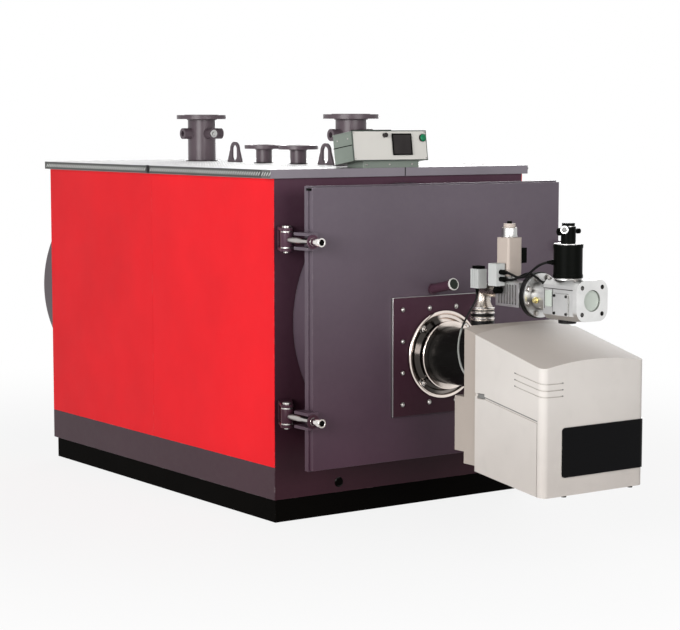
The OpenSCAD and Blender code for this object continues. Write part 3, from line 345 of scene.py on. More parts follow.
def rough_stone(name, colour):
    """Cast refractory or rope: grains, hairline cracks and patches of soot."""
    p = Paint(name)
    base = p.ramp(p.noise(14, 8), (0.3, shade(colour, 0.72)), (0.7, shade(colour, 1.12)))
    soot = p.ramp(p.noise(3.5, 5), (0.4, (0, 0, 0)), (0.7, (1, 1, 1)))
    base = p.mix(p.math("MULTIPLY", soot, 0.55), base, (0.05, 0.045, 0.04))
    cracks = p.node("ShaderNodeTexVoronoi", feature="DISTANCE_TO_EDGE", Scale=9.0)
    p.link(p.coords, cracks.inputs["Vector"])
    line = p.ramp(cracks.outputs["Distance"], (0.0, (0, 0, 0)), (0.012, (1, 1, 1)))
    base = p.mix(p.math("SUBTRACT", 1.0, line), base, shade(colour, 0.35))
    return p.set(base, 0.92, p.bump(p.noise(120, 6), 0.35, 0.002, p.bump(line, 0.4, 0.001)))


def scaled_steel(name, colour):
    """Furnace steel with soot and a rust-brown bloom."""
    p = Paint(name)
    base = p.ramp(p.noise(6, 7), (0.3, shade(colour, 0.6)), (0.55, colour), (0.8, (0.16, 0.075, 0.035)))
    soot = p.ramp(p.noise(17, 6), (0.45, (0, 0, 0)), (0.7, (1, 1, 1)))
    base = p.mix(p.math("MULTIPLY", soot, 0.7), base, (0.018, 0.017, 0.016))
    sheen = p.spread(p.noise(30, 4), 0.55, 0.85)
    return p.set(base, sheen, p.bump(p.noise(150, 6), 0.25, 0.001), Metallic=0.35)


def clear_glass(name, colour, coat):
    """Dark or tinted window with a faint smear."""
    p = Paint(name)
    base = p.ramp(p.noise(8, 4), (0.3, shade(colour, 0.8)), (0.7, shade(colour, 1.3)))
    sheen = p.spread(p.noise(20, 5), 0.05, 0.15)
    return p.set(base, sheen, Coat_Weight=coat, Coat_Roughness=0.04, Specular_IOR_Level=coat / 2)


def lead_with_reflection(name, colour, sleeve, level):
    """Lead in one colour above a height and in a lighter colour below it: the lighter part is a painted
    reflection.
    """
    p = Paint(name)
    base = p.ramp(p.split(p.coords)["Z"], (level - 0.008, sleeve), (level + 0.008, colour))
    sheen = p.spread(p.noise(60, 3), 0.38, 0.52)
    return p.set(base, sheen, p.bump(p.noise(500, 2), 0.1, 0.0005), Specular_IOR_Level=0.2)


# Paints: maker, colour and what differs from the maker's usual look

PAINTS = {
    "casing_red": (coated, (0.80, 0.012, 0.020),
                   dict(rough=0.42, peel=0.04, wear=(0.8, 0.35, 0.33), dust=0.010, gloss=0.08)),
    # A darker, redder copy of the door's paint: painted shade of the front panel beside the door. The low
    # tints paint shade towards the floor.
    "panel_purple": (coated, (0.074, 0.032, 0.053), dict(gloss=0.12, low_shade=(0.42, 0.26, 0.28))),
    "skirt_purple": (coated, (0.046, 0.020, 0.029), dict(gloss=0.14)),
    "door_purple": (coated, (0.116, 0.094, 0.119), dict(dust=0.03, low_shade=(0.47, 0.26, 0.34))),
    # A lighter copy of the door's paint for the top rail: painted light.
    "rail_purple": (coated, (0.230, 0.208, 0.240), dict(dust=0.03)),
    "plinth_black": (coated, (0.002, 0.0017, 0.0014), dict(rough=0.55, peel=0.12, dust=0.0012, gloss=0.01)),
    "boiler_grey": (coated, (0.078, 0.056, 0.068), dict(rough=0.30, peel=0.1, gloss=0.30)),
    "deck_steel": (metal, (0.86, 0.86, 0.86),
                   dict(rough=0.36, pits=0.05, stain_and_shade=(0.045, 0.048, 0.044), stain_share=0.03, upright_shade=0.94)),
    "rim_steel": (metal, (0.58, 0.59, 0.57), dict(rough=0.34, pits=0.08)),
    "furnace_steel": (scaled_steel, (0.07, 0.06, 0.055), {}),
    "refractory": (rough_stone, (0.52, 0.45, 0.36), {}),
    "fastener_steel": (metal, (0.50, 0.48, 0.46), {}),
    "bright_steel": (metal, (0.80, 0.77, 0.74), dict(rough=0.12, pits=0.01, stain_share=0.05)),
    "mount_steel": (metal, (0.82, 0.73, 0.67), dict(rough=0.12, pits=0.01, stain_share=0.05, dish=True)),
    "burner_black": (coated, (0.006, 0.006, 0.0055), dict(rough=0.18, peel=0.05, dust=0.003, gloss=0.08)),
    "cover_grey": (moulded, (0.64, 0.61, 0.58),
                   dict(rough=0.46, gloss=0.12, top_shade=0.5, corner_shade_and_dirt=0.3, low_shade=(0.85, 0.83, 0.82))),
    "body_grey": (moulded, (0.42, 0.37, 0.33), dict(rough=0.5)),
    "panel_black": (moulded, (0.004, 0.004, 0.0045), dict(rough=0.18, grain=200, depth=0.01, gloss=0.04)),
    "valve_silver": (metal, (0.70, 0.70, 0.69), dict(rough=0.34, pits=0.12, stain_share=0.12)),
    "cap_silver": (metal, (0.52, 0.52, 0.51), {}),
    "elbow_steel": (metal, (0.50, 0.45, 0.40), dict(rough=0.24, stain_share=0.12)),
    "actuator_beige": (moulded, (0.52, 0.45, 0.40), dict(rough=0.5)),
    "switch_grey": (moulded, (0.55, 0.57, 0.56), {}),
    "flange_dark": (coated, (0.005, 0.005, 0.005), dict(rough=0.35, peel=0.1, dust=0.004, gloss=0.12)),
    "coil_black": (moulded, (0.0022, 0.0027, 0.0021), dict(rough=0.36, grain=300, depth=0.1, gloss=0.025)),
    "cable_black": (moulded, (0.005, 0.005, 0.005), dict(rough=0.5, grain=500, depth=0.1, gloss=0.1)),
    "box_green": (coated, (0.185, 0.22, 0.19), dict(rough=0.45, peel=0.1, dust=0.03, gloss=0.3)),
    "box_edge": (coated, (0.060, 0.078, 0.065), dict(rough=0.45, peel=0.1)),
    "fascia_light": (moulded, (0.66, 0.65, 0.61), dict(rough=0.42)),
    "display_black": (clear_glass, (0.030, 0.026, 0.026), dict(coat=0.12)),
    "lens_green": (clear_glass, (0.003, 0.17, 0.070), dict(coat=0.2)),
    "glass_dark": (clear_glass, (0.016, 0.022, 0.016), dict(coat=0.15)),
    "brass": (metal, (0.86, 0.74, 0.34), dict(rough=0.25, pits=0.02, stain_share=0.1)),
    "cap_grey": (moulded, (0.50, 0.55, 0.50), dict(rough=0.3)),
    "ring_white": (moulded, (0.72, 0.71, 0.68), dict(rough=0.35)),
    "lead_grey": (moulded, (0.20, 0.20, 0.195), dict(rough=0.4)),
    "lead_sleeved": (lead_with_reflection, (0.006, 0.006, 0.006), dict(sleeve=(0.34, 0.35, 0.33), level=0.838)),
    "rope": (rough_stone, (0.62, 0.58, 0.50), {}),
}
paints = {name: make(name, colour, **look) for name, (make, colour, look) in PAINTS.items()}


# Carried-over CAD nodes: material, welded seams and a small rounded edge

WELD_REACH = 0.00002
SMOOTH_BELOW = math.radians(32)
BEVEL_ABOVE = math.radians(40)
EDGE_ROUND = 0.0015


def smooth_group():
    """Geometry nodes that weld the faces and shade them smooth below an angle."""
    group = bpy.data.node_groups.new("weld_and_smooth", "GeometryNodeTree")
    group.interface.new_socket("Geometry", in_out="INPUT", socket_type="NodeSocketGeometry")
    group.interface.new_socket("Geometry", in_out="OUTPUT", socket_type="NodeSocketGeometry")
    source = group.nodes.new("NodeGroupInput")
    bare = group.nodes.new("GeometryNodeRemoveAttribute")
    bare.inputs["Name"].default_value = "custom_normal"
    weld = group.nodes.new("GeometryNodeMergeByDistance")
    weld.inputs["Distance"].default_value = WELD_REACH
    angle = group.nodes.new("GeometryNodeInputMeshEdgeAngle")
    below = group.nodes.new("FunctionNodeCompare")
    below.operation = "LESS_THAN"
    below.inputs["B"].default_value = SMOOTH_BELOW
    edges = group.nodes.new("GeometryNodeSetShadeSmooth")
    edges.domain = "EDGE"
    faces = group.nodes.new("GeometryNodeSetShadeSmooth")
    out = group.nodes.new("NodeGroupOutput")
    last = source.outputs[0]
    for made in (bare, weld, faces, edges):
        group.links.new(last, made.inputs["Geometry"])
        last = made.outputs["Geometry"]
    group.links.new(angle.outputs["Unsigned Angle"], below.inputs["A"])
    group.links.new(below.outputs[0], edges.inputs["Shade Smooth"])
    group.links.new(last, out.inputs[0])
    return group


SMOOTH = smooth_group()


def soften(thing, width):
    """Welds and smooths an object, and rounds its sharp edges by a width."""
    smooth = thing.modifiers.new("weld_and_smooth", "NODES")
    smooth.node_group = SMOOTH
    if width:
        bevel = thing.modifiers.new("edge_round", "BEVEL")
        bevel.width = width
        bevel.segments = 2
        bevel.limit_method = "ANGLE"
        bevel.angle_limit = BEVEL_ABOVE
        bevel.harden_normals = True


slot_of = {row["node"]: row["material_slot"] for row in frame["record"]["subparts"]}
EDGE = {"burner_cover": 0.010, "tube_plate": 0, "front_panel": 0, "burner_tube": 0.001}
FINISH = {"burner_mount": "mount_steel", "front_top_rail": "rail_purple", "left_skirt": "skirt_purple",
          "right_skirt": "skirt_purple", "boiler_shell": "door_purple", "gas_elbow": "elbow_steel"}

for name, thing in nodes.items():
    thing.data.materials.clear()
    thing.data.materials.append(paints[FINISH.get(name, slot_of[name])])
    soften(thing, EDGE.get(name, EDGE_ROUND))


# Mesh building blocks

def lathe(bm, profile, centre, axis, steps=28, phase=0.0):
    """Adds a turned shape with a profile of (radius, height along the axis)."""
    axis = Vector(axis).normalized()
    side = axis.orthogonal().normalized()
    cross = axis.cross(side)
    rings = []
    for radius, height in profile:
        middle = Vector(centre) + axis * height
        if radius < 1e-6:
            rings.append([bm.verts.new(middle)])
            continue
        turn = [phase + 2 * math.pi * k / steps for k in range(steps)]
        spokes = [math.cos(a) * side + math.sin(a) * cross for a in turn]
        rings.append([bm.verts.new(middle + radius * spoke) for spoke in spokes])
    for low, high in zip(rings, rings[1:]):
        for k in range(steps):
            after = k + 1
            corners = (low[k % len(low)], low[after % len(low)], high[after % len(high)], high[k % len(high)])
            face = list(dict.fromkeys(corners))
            if len(face) > 2:
                bm.faces.new(face)


def hex_bolt(bm, centre, axis, radius, height, washer=True, phase=0.0):
    """Adds a hexagon head with a chamfered top, on a washer."""
    base = Vector(centre)
    direction = Vector(axis).normalized()
    if washer:
        thick = radius * 0.2
        wide = radius * 1.4
        lathe(bm, [(0, 0), (wide, 0), (wide, thick * 0.8), (wide * 0.97, thick), (0, thick)], base, axis)
        base = base + direction * thick
    lathe(bm, [(0, 0), (radius, 0), (radius, height * 0.82), (radius * 0.86, height), (0, height)],
          base, axis, 6, phase)


def dome_bolt(bm, centre, axis, radius, height):
    """Adds a low domed head on a thin collar."""
    dome = [(radius * math.cos(a), height * (0.3 + 0.7 * math.sin(a))) for a in
            (i * math.pi / 12 for i in range(7))]
    collar = radius * 1.25
    lathe(bm, [(0, 0), (collar, 0), (collar, height * 0.3), *dome[:-1], (0, height)], centre, axis)


def pan_screw(bm, centre, axis, radius):
    """Adds a pan head with a round recess."""
    height = radius * 0.55
    lathe(bm, [(0, 0), (radius, 0), (radius, height * 0.5), (radius * 0.8, height * 0.9),
               (radius * 0.42, height), (radius * 0.34, height * 0.55), (0, height * 0.45)], centre, axis, 16)


def tube_ring(bm, centre, axis, ring_r, thick, steps=64, sides=10):
    """Adds a closed round bead."""
    profile = []
    for k in range(sides + 1):
        a = 2 * math.pi * k / sides
        profile.append((ring_r + thick * math.cos(a), thick * math.sin(a)))
    lathe(bm, profile, centre, axis, steps)


def rounded_box(bm, low, high, radius, turn=None):
    """Adds a box with rounded edges between two corners."""
    part = bmesh.new()
    bmesh.ops.create_cube(part, size=1.0)
    low, high = Vector(low), Vector(high)
    for vert in part.verts:
        vert.co = [(low[i] + high[i]) / 2 + vert.co[i] * (high[i] - low[i]) for i in range(3)]
    bmesh.ops.bevel(part, geom=part.edges[:], offset=radius, segments=3, affect="EDGES", profile=0.5)
    if turn:
        bmesh.ops.transform(part, matrix=turn, verts=part.verts[:])
    store = bpy.data.meshes.new("store")
    part.to_mesh(store)
    part.free()
    bm.from_mesh(store)
    bpy.data.meshes.remove(store)


def side_boxes(bm, x, y, z, radius, turn=None):
    """Adds a rounded box between the pairs x, y and z, and its mirror image on the left."""
    for side in (-1, 1):
        left, right = sorted((side * x[0], side * x[1]))
        rounded_box(bm, (left, y[0], z[0]), (right, y[1], z[1]), radius, turn)


def round_places(radius, count, first, y, z):
    """Angle and place of each of the things on an upright circle that faces the front."""
    for k in range(count):
        angle = math.radians(first + 360 / count * k)
        yield angle, Vector((radius * math.cos(angle), y, z + radius * math.sin(angle)))


def piece(name, bm, body, slot, paint=None):
    """Turns a bmesh into an object that rides on a body."""
    bmesh.ops.remove_doubles(bm, verts=bm.verts[:], dist=0.000005)
    bmesh.ops.recalc_face_normals(bm, faces=bm.faces[:])
    mesh = bpy.data.meshes.new(name)
    bm.to_mesh(mesh)
    bm.free()
    mesh.materials.append(paints[paint or slot])
    thing = bpy.data.objects.new(name, mesh)
    bpy.context.scene.collection.objects.link(thing)
    soften(thing, 0)
    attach(thing, body)
    return thing


def turned(name, profile, centre, axis, steps, body, slot, paint=None):
    """Makes a piece of one turned shape."""
    bm = bmesh.new()
    lathe(bm, profile, centre, axis, steps)
    piece(name, bm, body, slot, paint)


# Leads of the gas train: the same points as the CAD leads, in metres

SWITCH_POINTS = [
    (-0.056, -1.580, 0.9997), (-0.056, -1.580, 0.978), (-0.070, -1.587, 0.948), (-0.108, -1.587, 0.895),
    (-0.148, -1.593, 0.835), (-0.183, -1.617, 0.765), (-0.206, -1.665, 0.696), (-0.212, -1.715, 0.660),
    (-0.212, -1.7447, 0.660)]
COIL_POINTS = [
    (-0.066, -1.7548, 1.074), (-0.066, -1.7795, 1.074), (-0.067, -1.815, 1.066), (-0.070, -1.854, 1.060),
    (-0.075, -1.893, 1.066), (-0.080, -1.931, 1.083), (-0.0838, -1.975, 1.109), (-0.0782, -2.003, 1.1235),
    (-0.0637, -2.021, 1.130), (-0.04714, -2.03219, 1.130)]
VALVE_POINTS = [
    (-0.066, -1.7548, 1.046), (-0.066, -1.7795, 1.046), (-0.0635, -1.811, 1.0485), (-0.059, -1.842, 1.059),
    (-0.0545, -1.872, 1.0735), (-0.0505, -1.902, 1.0775), (-0.047, -1.930, 1.066), (-0.0435, -1.952, 1.0525),
    (-0.042, -1.972, 1.046), (-0.042, -1.9917, 1.046)]


def route(points):
    """Smooth route through points, as in the CAD source."""
    steps = 4
    p = [Vector(q) for q in points]
    last = len(p) - 1
    path = []
    for i in range(last):
        a, b, c, d = p[max(i - 1, 0)], p[i], p[i + 1], p[min(i + 2, last)]
        for k in range(steps):
            t = k / steps
            path.append(0.5 * (2 * b + (c - a) * t + (2 * a - 5 * b + 4 * c - d) * t * t
                               + (3 * b - 3 * c + d - a) * t * t * t))
    return path + [p[last]]


def gland(name, points, radius):
    """Tapered strain relief on the first straight of a lead."""
    bm = bmesh.new()
    start, after = Vector(points[0]), Vector(points[1])
    lathe(bm, [(radius * 0.9, 0), (radius * 2.1, 0), (radius * 2.1, 0.007), (radius * 1.7, 0.009),
               (radius * 1.6, 0.013), (radius * 1.15, 0.026), (radius * 0.95, 0.026)], start, after - start)
    return piece(name, bm, "door", "coil_black")


def make_lead(name, points, radius, paint="cable_black"):
    path = route(points)
    curve = bpy.data.curves.new(name, "CURVE")
    curve.dimensions = "3D"
    curve.bevel_depth = radius
    curve.bevel_resolution = 4
    curve.use_fill_caps = True
    spline = curve.splines.new("POLY")
    spline.points.add(len(path) - 1)
    for point, place in zip(spline.points, path):
        point.co = (*place, 1)
    spline.use_smooth = True
    curve.materials.append(paints[paint])
    thing = bpy.data.objects.new(name, curve)
    bpy.context.scene.collection.objects.link(thing)
    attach(thing, "door")
    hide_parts(name)
    glands = [gland(name + "_gland", points, radius), gland(name + "_end_gland", points[::-1], radius)]


# The switch lead is lighter below its level: painted reflection.
make_lead("switch_lead", SWITCH_POINTS, 0.004, "lead_sleeved")
make_lead("coil_lead", COIL_POINTS, 0.005)
make_lead("valve_lead", VALVE_POINTS, 0.005)


# Deck: raised treads of the chequer plate and its rim, end plates of the front rail and dark joints

DECK_X = 0.690
DECK_PLATES = ((-0.9545, -0.0005), (0.0005, 1.0295))
RAIL_END_X = (0.6928, 0.6945)
RAIL_END_Y = (-1.0190, -0.9550)
RAIL_END_Z = (1.4412, 1.4768)
RAIL_FRONT = -1.0195
JOINT_FOOT = RAIL_END_Z[0] + 0.0006

TREAD_PITCH = 0.036
TREAD_MARGIN = 0.030
RIM_MIDDLE = DECK_Z - 0.0185
LENS = ((-1, 0), (-0.5, -0.82), (0, -1), (0.5, -0.82), (1, 0), (0.5, 0.82), (0, 1), (-0.5, 0.82))

# Nozzles: place along the deck, pipe radius, underside of the flange, radius free of treads
MAIN_NOZZLES = (-0.619, 0.664)
SAFETY_NOZZLES = (-0.198, 0.094)
NOZZLES = [(y, 0.06985, 1.686, 0.094) for y in MAIN_NOZZLES]
NOZZLES += [(y, 0.03805, 1.545, 0.064) for y in SAFETY_NOZZLES]
LIFTING_EYES = (-0.423, 0.353)
EYE_FREE_X = 0.026
EYE_FREE_Y = 0.080
BRACKET_FREE_X = (-0.230, 0.085)
BRACKET_FREE_Y = -0.885


def tread(bm, base, angle, axis_u=Vector((1, 0, 0)), axis_v=Vector((0, 1, 0))):
    """Adds one lens-shaped tread on the plane of two axes."""
    half, wide, high, sunk = 0.0135, 0.0042, 0.0016, 0.0002
    up = axis_u.cross(axis_v)
    along = (math.cos(angle) * axis_u + math.sin(angle) * axis_v) * half
    across = up.cross(along) / half * wide
    low = [bm.verts.new(base + along * u + across * v - up * sunk) for u, v in LENS]
    top = [bm.verts.new(base + along * 0.72 * u + across * 0.45 * v + up * high) for u, v in LENS]
    for k in range(len(LENS)):
        after = (k + 1) % len(LENS)
        bm.faces.new((low[k], low[after], top[after], top[k]))
    bm.faces.new(top)


def rim_tread(bm, side, x, y):
    """Adds one tread on the upright rim of the left (-1) or right (1) edge."""
    tread(bm, Vector((side * x, y, RIM_MIDDLE)), math.radians(-45 * side), Vector((0, side, 0)), Vector(UP))


def deck_is_free(x, y):
    """Says whether a tread clears the nozzles, the lifting eyes and the control box's bracket."""
    if any(math.hypot(x, y - nozzle_y) < free_r for nozzle_y, _, _, free_r in NOZZLES):
        return False
    if any(abs(y - eye_y) < EYE_FREE_Y and abs(x) < EYE_FREE_X for eye_y in LIFTING_EYES):
        return False
    return not (y < BRACKET_FREE_Y and BRACKET_FREE_X[0] < x < BRACKET_FREE_X[1])


def make_treads():
    top, rim = bmesh.new(), bmesh.new()
    columns = int((2 * DECK_X - TREAD_MARGIN) / TREAD_PITCH)
    for y0, y1 in DECK_PLATES:
        middle = (y0 + y1) / 2
        rows = int((y1 - y0 - TREAD_MARGIN) / TREAD_PITCH)
        for j in range(rows + 1):
            for i in range(columns + 1):
                x = (i - columns / 2) * TREAD_PITCH
                y = middle + (j - rows / 2) * TREAD_PITCH
                if deck_is_free(x, y):
                    tread(top, Vector((x, y, DECK_Z)), math.radians(45 if (i + j) % 2 else -45))
        for side in (-1, 1):
            for j in range(2 * rows + 1):
                rim_tread(rim, side, DECK_X, middle + (j - rows) * TREAD_PITCH / 2)
    for side in (-1, 1):
        for k in range(4):
            rim_tread(rim, side, RAIL_END_X[1], RAIL_END_Y[0] + 0.005 + k * TREAD_PITCH / 2)
    side_boxes(top, RAIL_END_X, RAIL_END_Y, RAIL_END_Z, 0.0005)
    piece("deck_treads", top, "boiler", "deck_steel")
    piece("deck_rim_treads", rim, "boiler", "deck_steel", "rim_steel")


def make_deck_joints():
    """Dark joints between the two deck plates and in the middle of the front rail."""
    bm = bmesh.new()
    rim = (DECK_X - 0.0010, DECK_X + 0.0022)
    side_boxes(bm, rim, (-0.0095, 0.0095), (JOINT_FOOT, DECK_Z + 0.0010), 0.0008)
    front, back = RAIL_FRONT - 0.0009, RAIL_FRONT + 0.0010
    rounded_box(bm, (-0.0024, front, JOINT_FOOT), (0.0024, back, DECK_Z + 0.0006), 0.0004)
    piece("deck_joints", bm, "boiler", "coil_black", "flange_dark")


make_treads()
make_deck_joints()


# Front panel: black round piece in the drain hole, closed across its middle

PANEL_FRONT = -1.0075

turned("drain_black_disc", [(0.0215, 0.0), (0.0215, 0.0014), (0.0200, 0.0026), (0.0178, 0.0026),
                         (0.0166, 0.0012), (0, 0.0010)],
       (-0.3425, PANEL_FRONT, 0.1400), OUT, 40, "boiler", "cable_black", "plinth_black")


# Door: burner plate with its bolts and edge strips as painted highlights, sight glass, seal, lining and
# hinges

PLATE_BACK = -1.2725
PLATE_FRONT = -1.284
PLATE_HALF_X = 0.262
PLATE_HALF_Z = 0.2495
PLATE_BOLTS = ((0.071, 0.199), (0.212, 0.199), (0.212, 0.066))
HINGE_X = -0.690
HINGE_Y = -1.131
HINGE_HEIGHTS = (1.196, 0.472)
HINGE_WASHER_Y = -1.318
HINGE_BOLT_END_Y = -1.375


def make_plate_bolts():
    bm = bmesh.new()
    for side_x in (-1, 1):
        for side_z in (-1, 1):
            for x, z in PLATE_BOLTS:
                dome_bolt(bm, (side_x * x, PLATE_FRONT, BURNER_Z + side_z * z), OUT, 0.0080, 0.009)
    piece("burner_plate_bolts", bm, "door", "fastener_steel")


def make_mount_nuts():
    """Nuts of the burner's flange on their studs."""
    bm = bmesh.new()
    for angle, centre in round_places(0.160, 4, 45, PLATE_FRONT - 0.008, BURNER_Z):
        hex_bolt(bm, centre, OUT, 0.0125, 0.010, phase=angle)
        lathe(bm, [(0.006, 0.010), (0.006, 0.020), (0.005, 0.022), (0, 0.022)], centre, OUT, 16)
    piece("burner_mount_nuts", bm, "door", "bright_steel")


def make_plate_edge_highlights():
    """Bare silver strips on the side and top edges of the burner plate: cut edges shown as painted
    highlights, none on the shaded bottom edge.
    """
    bm = bmesh.new()
    skin, round_r = 0.0007, 0.0005
    front = PLATE_FRONT - 0.0003
    low, high = BURNER_Z - PLATE_HALF_Z, BURNER_Z + PLATE_HALF_Z
    side_boxes(bm, (PLATE_HALF_X - skin, PLATE_HALF_X + skin), (front, PLATE_BACK), (low, high), round_r)
    rounded_box(bm, (-PLATE_HALF_X, front, high - skin), (PLATE_HALF_X, PLATE_BACK, high + skin), round_r)
    piece("plate_edge_highlights", bm, "door", "fastener_steel", "valve_silver")


def make_sight_glass():
    tilt = math.radians(12)
    axis = Vector((0, -math.cos(tilt), math.sin(tilt)))
    foot, length = Vector((-0.046, -1.272, 0.972)), 0.146
    end = foot + axis * length
    turned("sight_ring", [(0.0212, 0.0004), (0.0218, 0.0022), (0.0245, 0.0022), (0.0255, 0.001),
                          (0.0255, -0.005), (0.0252, -0.006)],
           end, axis, 40, "door", "fastener_steel", "ring_white")
    turned("sight_glass", [(0.0214, 0.0003), (0.0212, 0.0010), (0.0120, 0.0014), (0, 0.0016)],
           end, axis, 40, "door", "panel_black", "glass_dark")


def make_door_seal():
    """Three strands of rope round the lining."""
    bm = bmesh.new()
    seal_y, seal_r, spacing = -1.2192, 0.5700, 0.0045
    tube_ring(bm, (0, seal_y, SHELL_Z), BACK, seal_r, 0.0026, 120, 8)
    for strand_r in (seal_r - spacing, seal_r + spacing):
        tube_ring(bm, (0, seal_y - 0.0003, SHELL_Z), BACK, strand_r, 0.0022, 120, 8)
    piece("door_seal", bm, "door", "refractory", "rope")


def make_lining_anchors():
    bm = bmesh.new()
    washer = 0.003
    for _, centre in round_places(0.47, 10, 18, -1.182, SHELL_Z):
        lathe(bm, [(0, washer), (0.018, washer), (0.02, 0.001), (0.02, -0.001)], centre, BACK, 24)
        hex_bolt(bm, centre + washer * Vector(BACK), BACK, 0.010, 0.008, washer=False)
    piece("lining_anchors", bm, "door", "furnace_steel")


def make_hinge_eyes():
    """Painted sleeves round the eyes of the hinge bolts."""
    bm = bmesh.new()
    for z in HINGE_HEIGHTS:
        lathe(bm, [(0.0242, -0.030), (0.0249, -0.028), (0.0249, 0.028), (0.0242, 0.030)],
              (HINGE_X, HINGE_Y, z), UP, 40)
    piece("hinge_eyes", bm, "door", "panel_purple")


def make_hinge_trim():
    """Painted faces of the nut washers, dark bolt ends inside the nuts, and a dark block at the door's corner
    as painted shade of the notch there.
    """
    washers, ends = bmesh.new(), bmesh.new()
    for z in HINGE_HEIGHTS:
        lathe(washers, [(0.0152, 0.0053), (0.0278, 0.0053), (0.0284, 0.0046), (0.0284, 0.0004)],
              (HINGE_X, HINGE_WASHER_Y, z), OUT, 40)
        lathe(ends, [(0.0118, 0.0001), (0.0118, 0.0010), (0.0095, 0.0016), (0, 0.0016)],
              (HINGE_X, HINGE_BOLT_END_Y, z), OUT, 28)
    # Dark block at the door's corner: painted shade of the notch.
    rounded_box(ends, (-0.6652, -1.264, 1.3975), (-0.6570, -1.236, 1.4070), 0.0010)
    piece("washer_faces", washers, "door", "panel_purple")
    piece("bolt_ends_and_notch_shade", ends, "door", "coil_black")


make_plate_bolts()
make_mount_nuts()
make_plate_edge_highlights()
make_sight_glass()
make_door_seal()
make_lining_anchors()
make_hinge_eyes()
make_hinge_trim()


# Boiler front behind the door: rolled ends of the smoke tubes, welds of the furnace and the shell

TUBE_PLATE_Y = -1.110
TUBE_ROWS = ((0.507, 36), (0.427, 30))
TUBE_FREE_R = 0.322


def make_tube_ends():
    bm = bmesh.new()
    lip = [(0.0268, 0.012), (0.0268, -0.003), (0.0278, -0.005), (0.0296, -0.005), (0.0306, -0.003),
           (0.031, 0.0)]
    for row_r, count in TUBE_ROWS:
        for k in range(count):
            a = 2 * math.pi * k / count
            x, z = row_r * math.sin(a), SHELL_Z + row_r * math.cos(a)
            if math.hypot(x, z - BURNER_Z) > TUBE_FREE_R:
                lathe(bm, lip, (x, TUBE_PLATE_Y, z), BACK, 24)
    piece("smoke_tube_ends", bm, "boiler", "furnace_steel")


def make_front_welds():
    bm = bmesh.new()
    tube_ring(bm, (0, TUBE_PLATE_Y, BURNER_Z), BACK, 0.2712, 0.0045, 96)
    tube_ring(bm, (0, TUBE_PLATE_Y, SHELL_Z), BACK, 0.5635, 0.0045, 120)
    piece("front_welds", bm, "boiler", "furnace_steel")


make_tube_ends()
make_front_welds()


# Top: weld beads of the nozzles, a collar where each pipe leaves the deck, plugs of the front sockets

SOCKET_Z = 1.614


def make_nozzle_welds():
    bm = bmesh.new()
    for y, pipe_r, under, _ in NOZZLES:
        tube_ring(bm, (0, y, under - 0.0005), UP, pipe_r + 0.001, 0.0045, 48, 8)
    for y in MAIN_NOZZLES:
        for k in range(4):
            a = k * math.pi / 2
            direction = Vector((math.cos(a), math.sin(a), 0))
            tube_ring(bm, Vector((0, y, SOCKET_Z)) + direction * 0.0665, direction, 0.0275, 0.003, 32, 6)
    piece("nozzle_welds", bm, "boiler", "boiler_grey")


def make_deck_collars():
    bm = bmesh.new()
    for y, pipe_r, _, _ in NOZZLES:
        inner, outer = pipe_r + 0.0008, pipe_r + 0.012
        lathe(bm, [(inner, 0.0), (outer, 0.0), (outer, 0.0016), (pipe_r + 0.004, 0.0035), (inner, 0.0035)],
              (0, y, DECK_Z), UP, 48)
    piece("deck_collars", bm, "boiler", "cable_black")


def make_socket_plugs():
    bm = bmesh.new()
    reach, cap = 0.112, 0.0042
    for y in MAIN_NOZZLES:
        end = Vector((0, y - reach, SOCKET_Z))
        lathe(bm, [(0.0134, 0), (0.0185, 0), (0.0190, 0.0006), (0.0190, 0.0032), (0.0175, cap), (0, cap)],
              end, OUT, 32)
        hex_bolt(bm, end + cap * Vector(OUT), OUT, 0.009, 0.007, washer=False)
    piece("socket_plugs", bm, "boiler", "fastener_steel", "cap_silver")


make_nozzle_welds()
make_deck_collars()
make_socket_plugs()


# Control box: its own axes start at the middle of the lower front edge and lean back

BOX = Matrix.Translation((-0.081, -1.0295, 1.509)) @ Matrix.Rotation(math.radians(-8), 4, "X")
BOX_TURN = BOX.to_3x3()
BOX_FRONT = BOX_TURN @ Vector(OUT)
BOX_HALF = 0.196


def on_box(x, y, z):
    return BOX @ Vector((x, y, z))


def box_frame(bm, low, high, bars, depth, radius):
    """Adds four bars inside a rectangle on the box's front; bars are the widths in x and z."""
    (x0, z0), (x1, z1) = low, high
    for a, b in (((x0, z0), (x1, z0 + bars[1])), ((x0, z1 - bars[1]), (x1, z1)),
                 ((x0, z0), (x0 + bars[0], z1)), ((x1 - bars[0], z0), (x1, z1))):
        rounded_box(bm, (a[0], depth[0], a[1]), (b[0], depth[1], b[1]), radius, BOX)


def make_control_screws():
    """Screws of the fascia, of the box's sides and of the bracket under it."""
    bm = bmesh.new()
    for side in (-1, 1):
        for z in (0.008, 0.119):
            pan_screw(bm, on_box(side * 0.188, 0, z), BOX_FRONT, 0.0035)
        for y in (0.04, 0.115):
            outward = BOX_TURN @ Vector((side, 0, 0))
            pan_screw(bm, on_box(side * (BOX_HALF - 0.002), y, 0.098), outward, 0.004)
    for x in (-0.201, -0.081, 0.039):
        pan_screw(bm, (x, -1.0155, 1.491), OUT, 0.004)
    piece("control_screws", bm, "boiler", "fastener_steel")


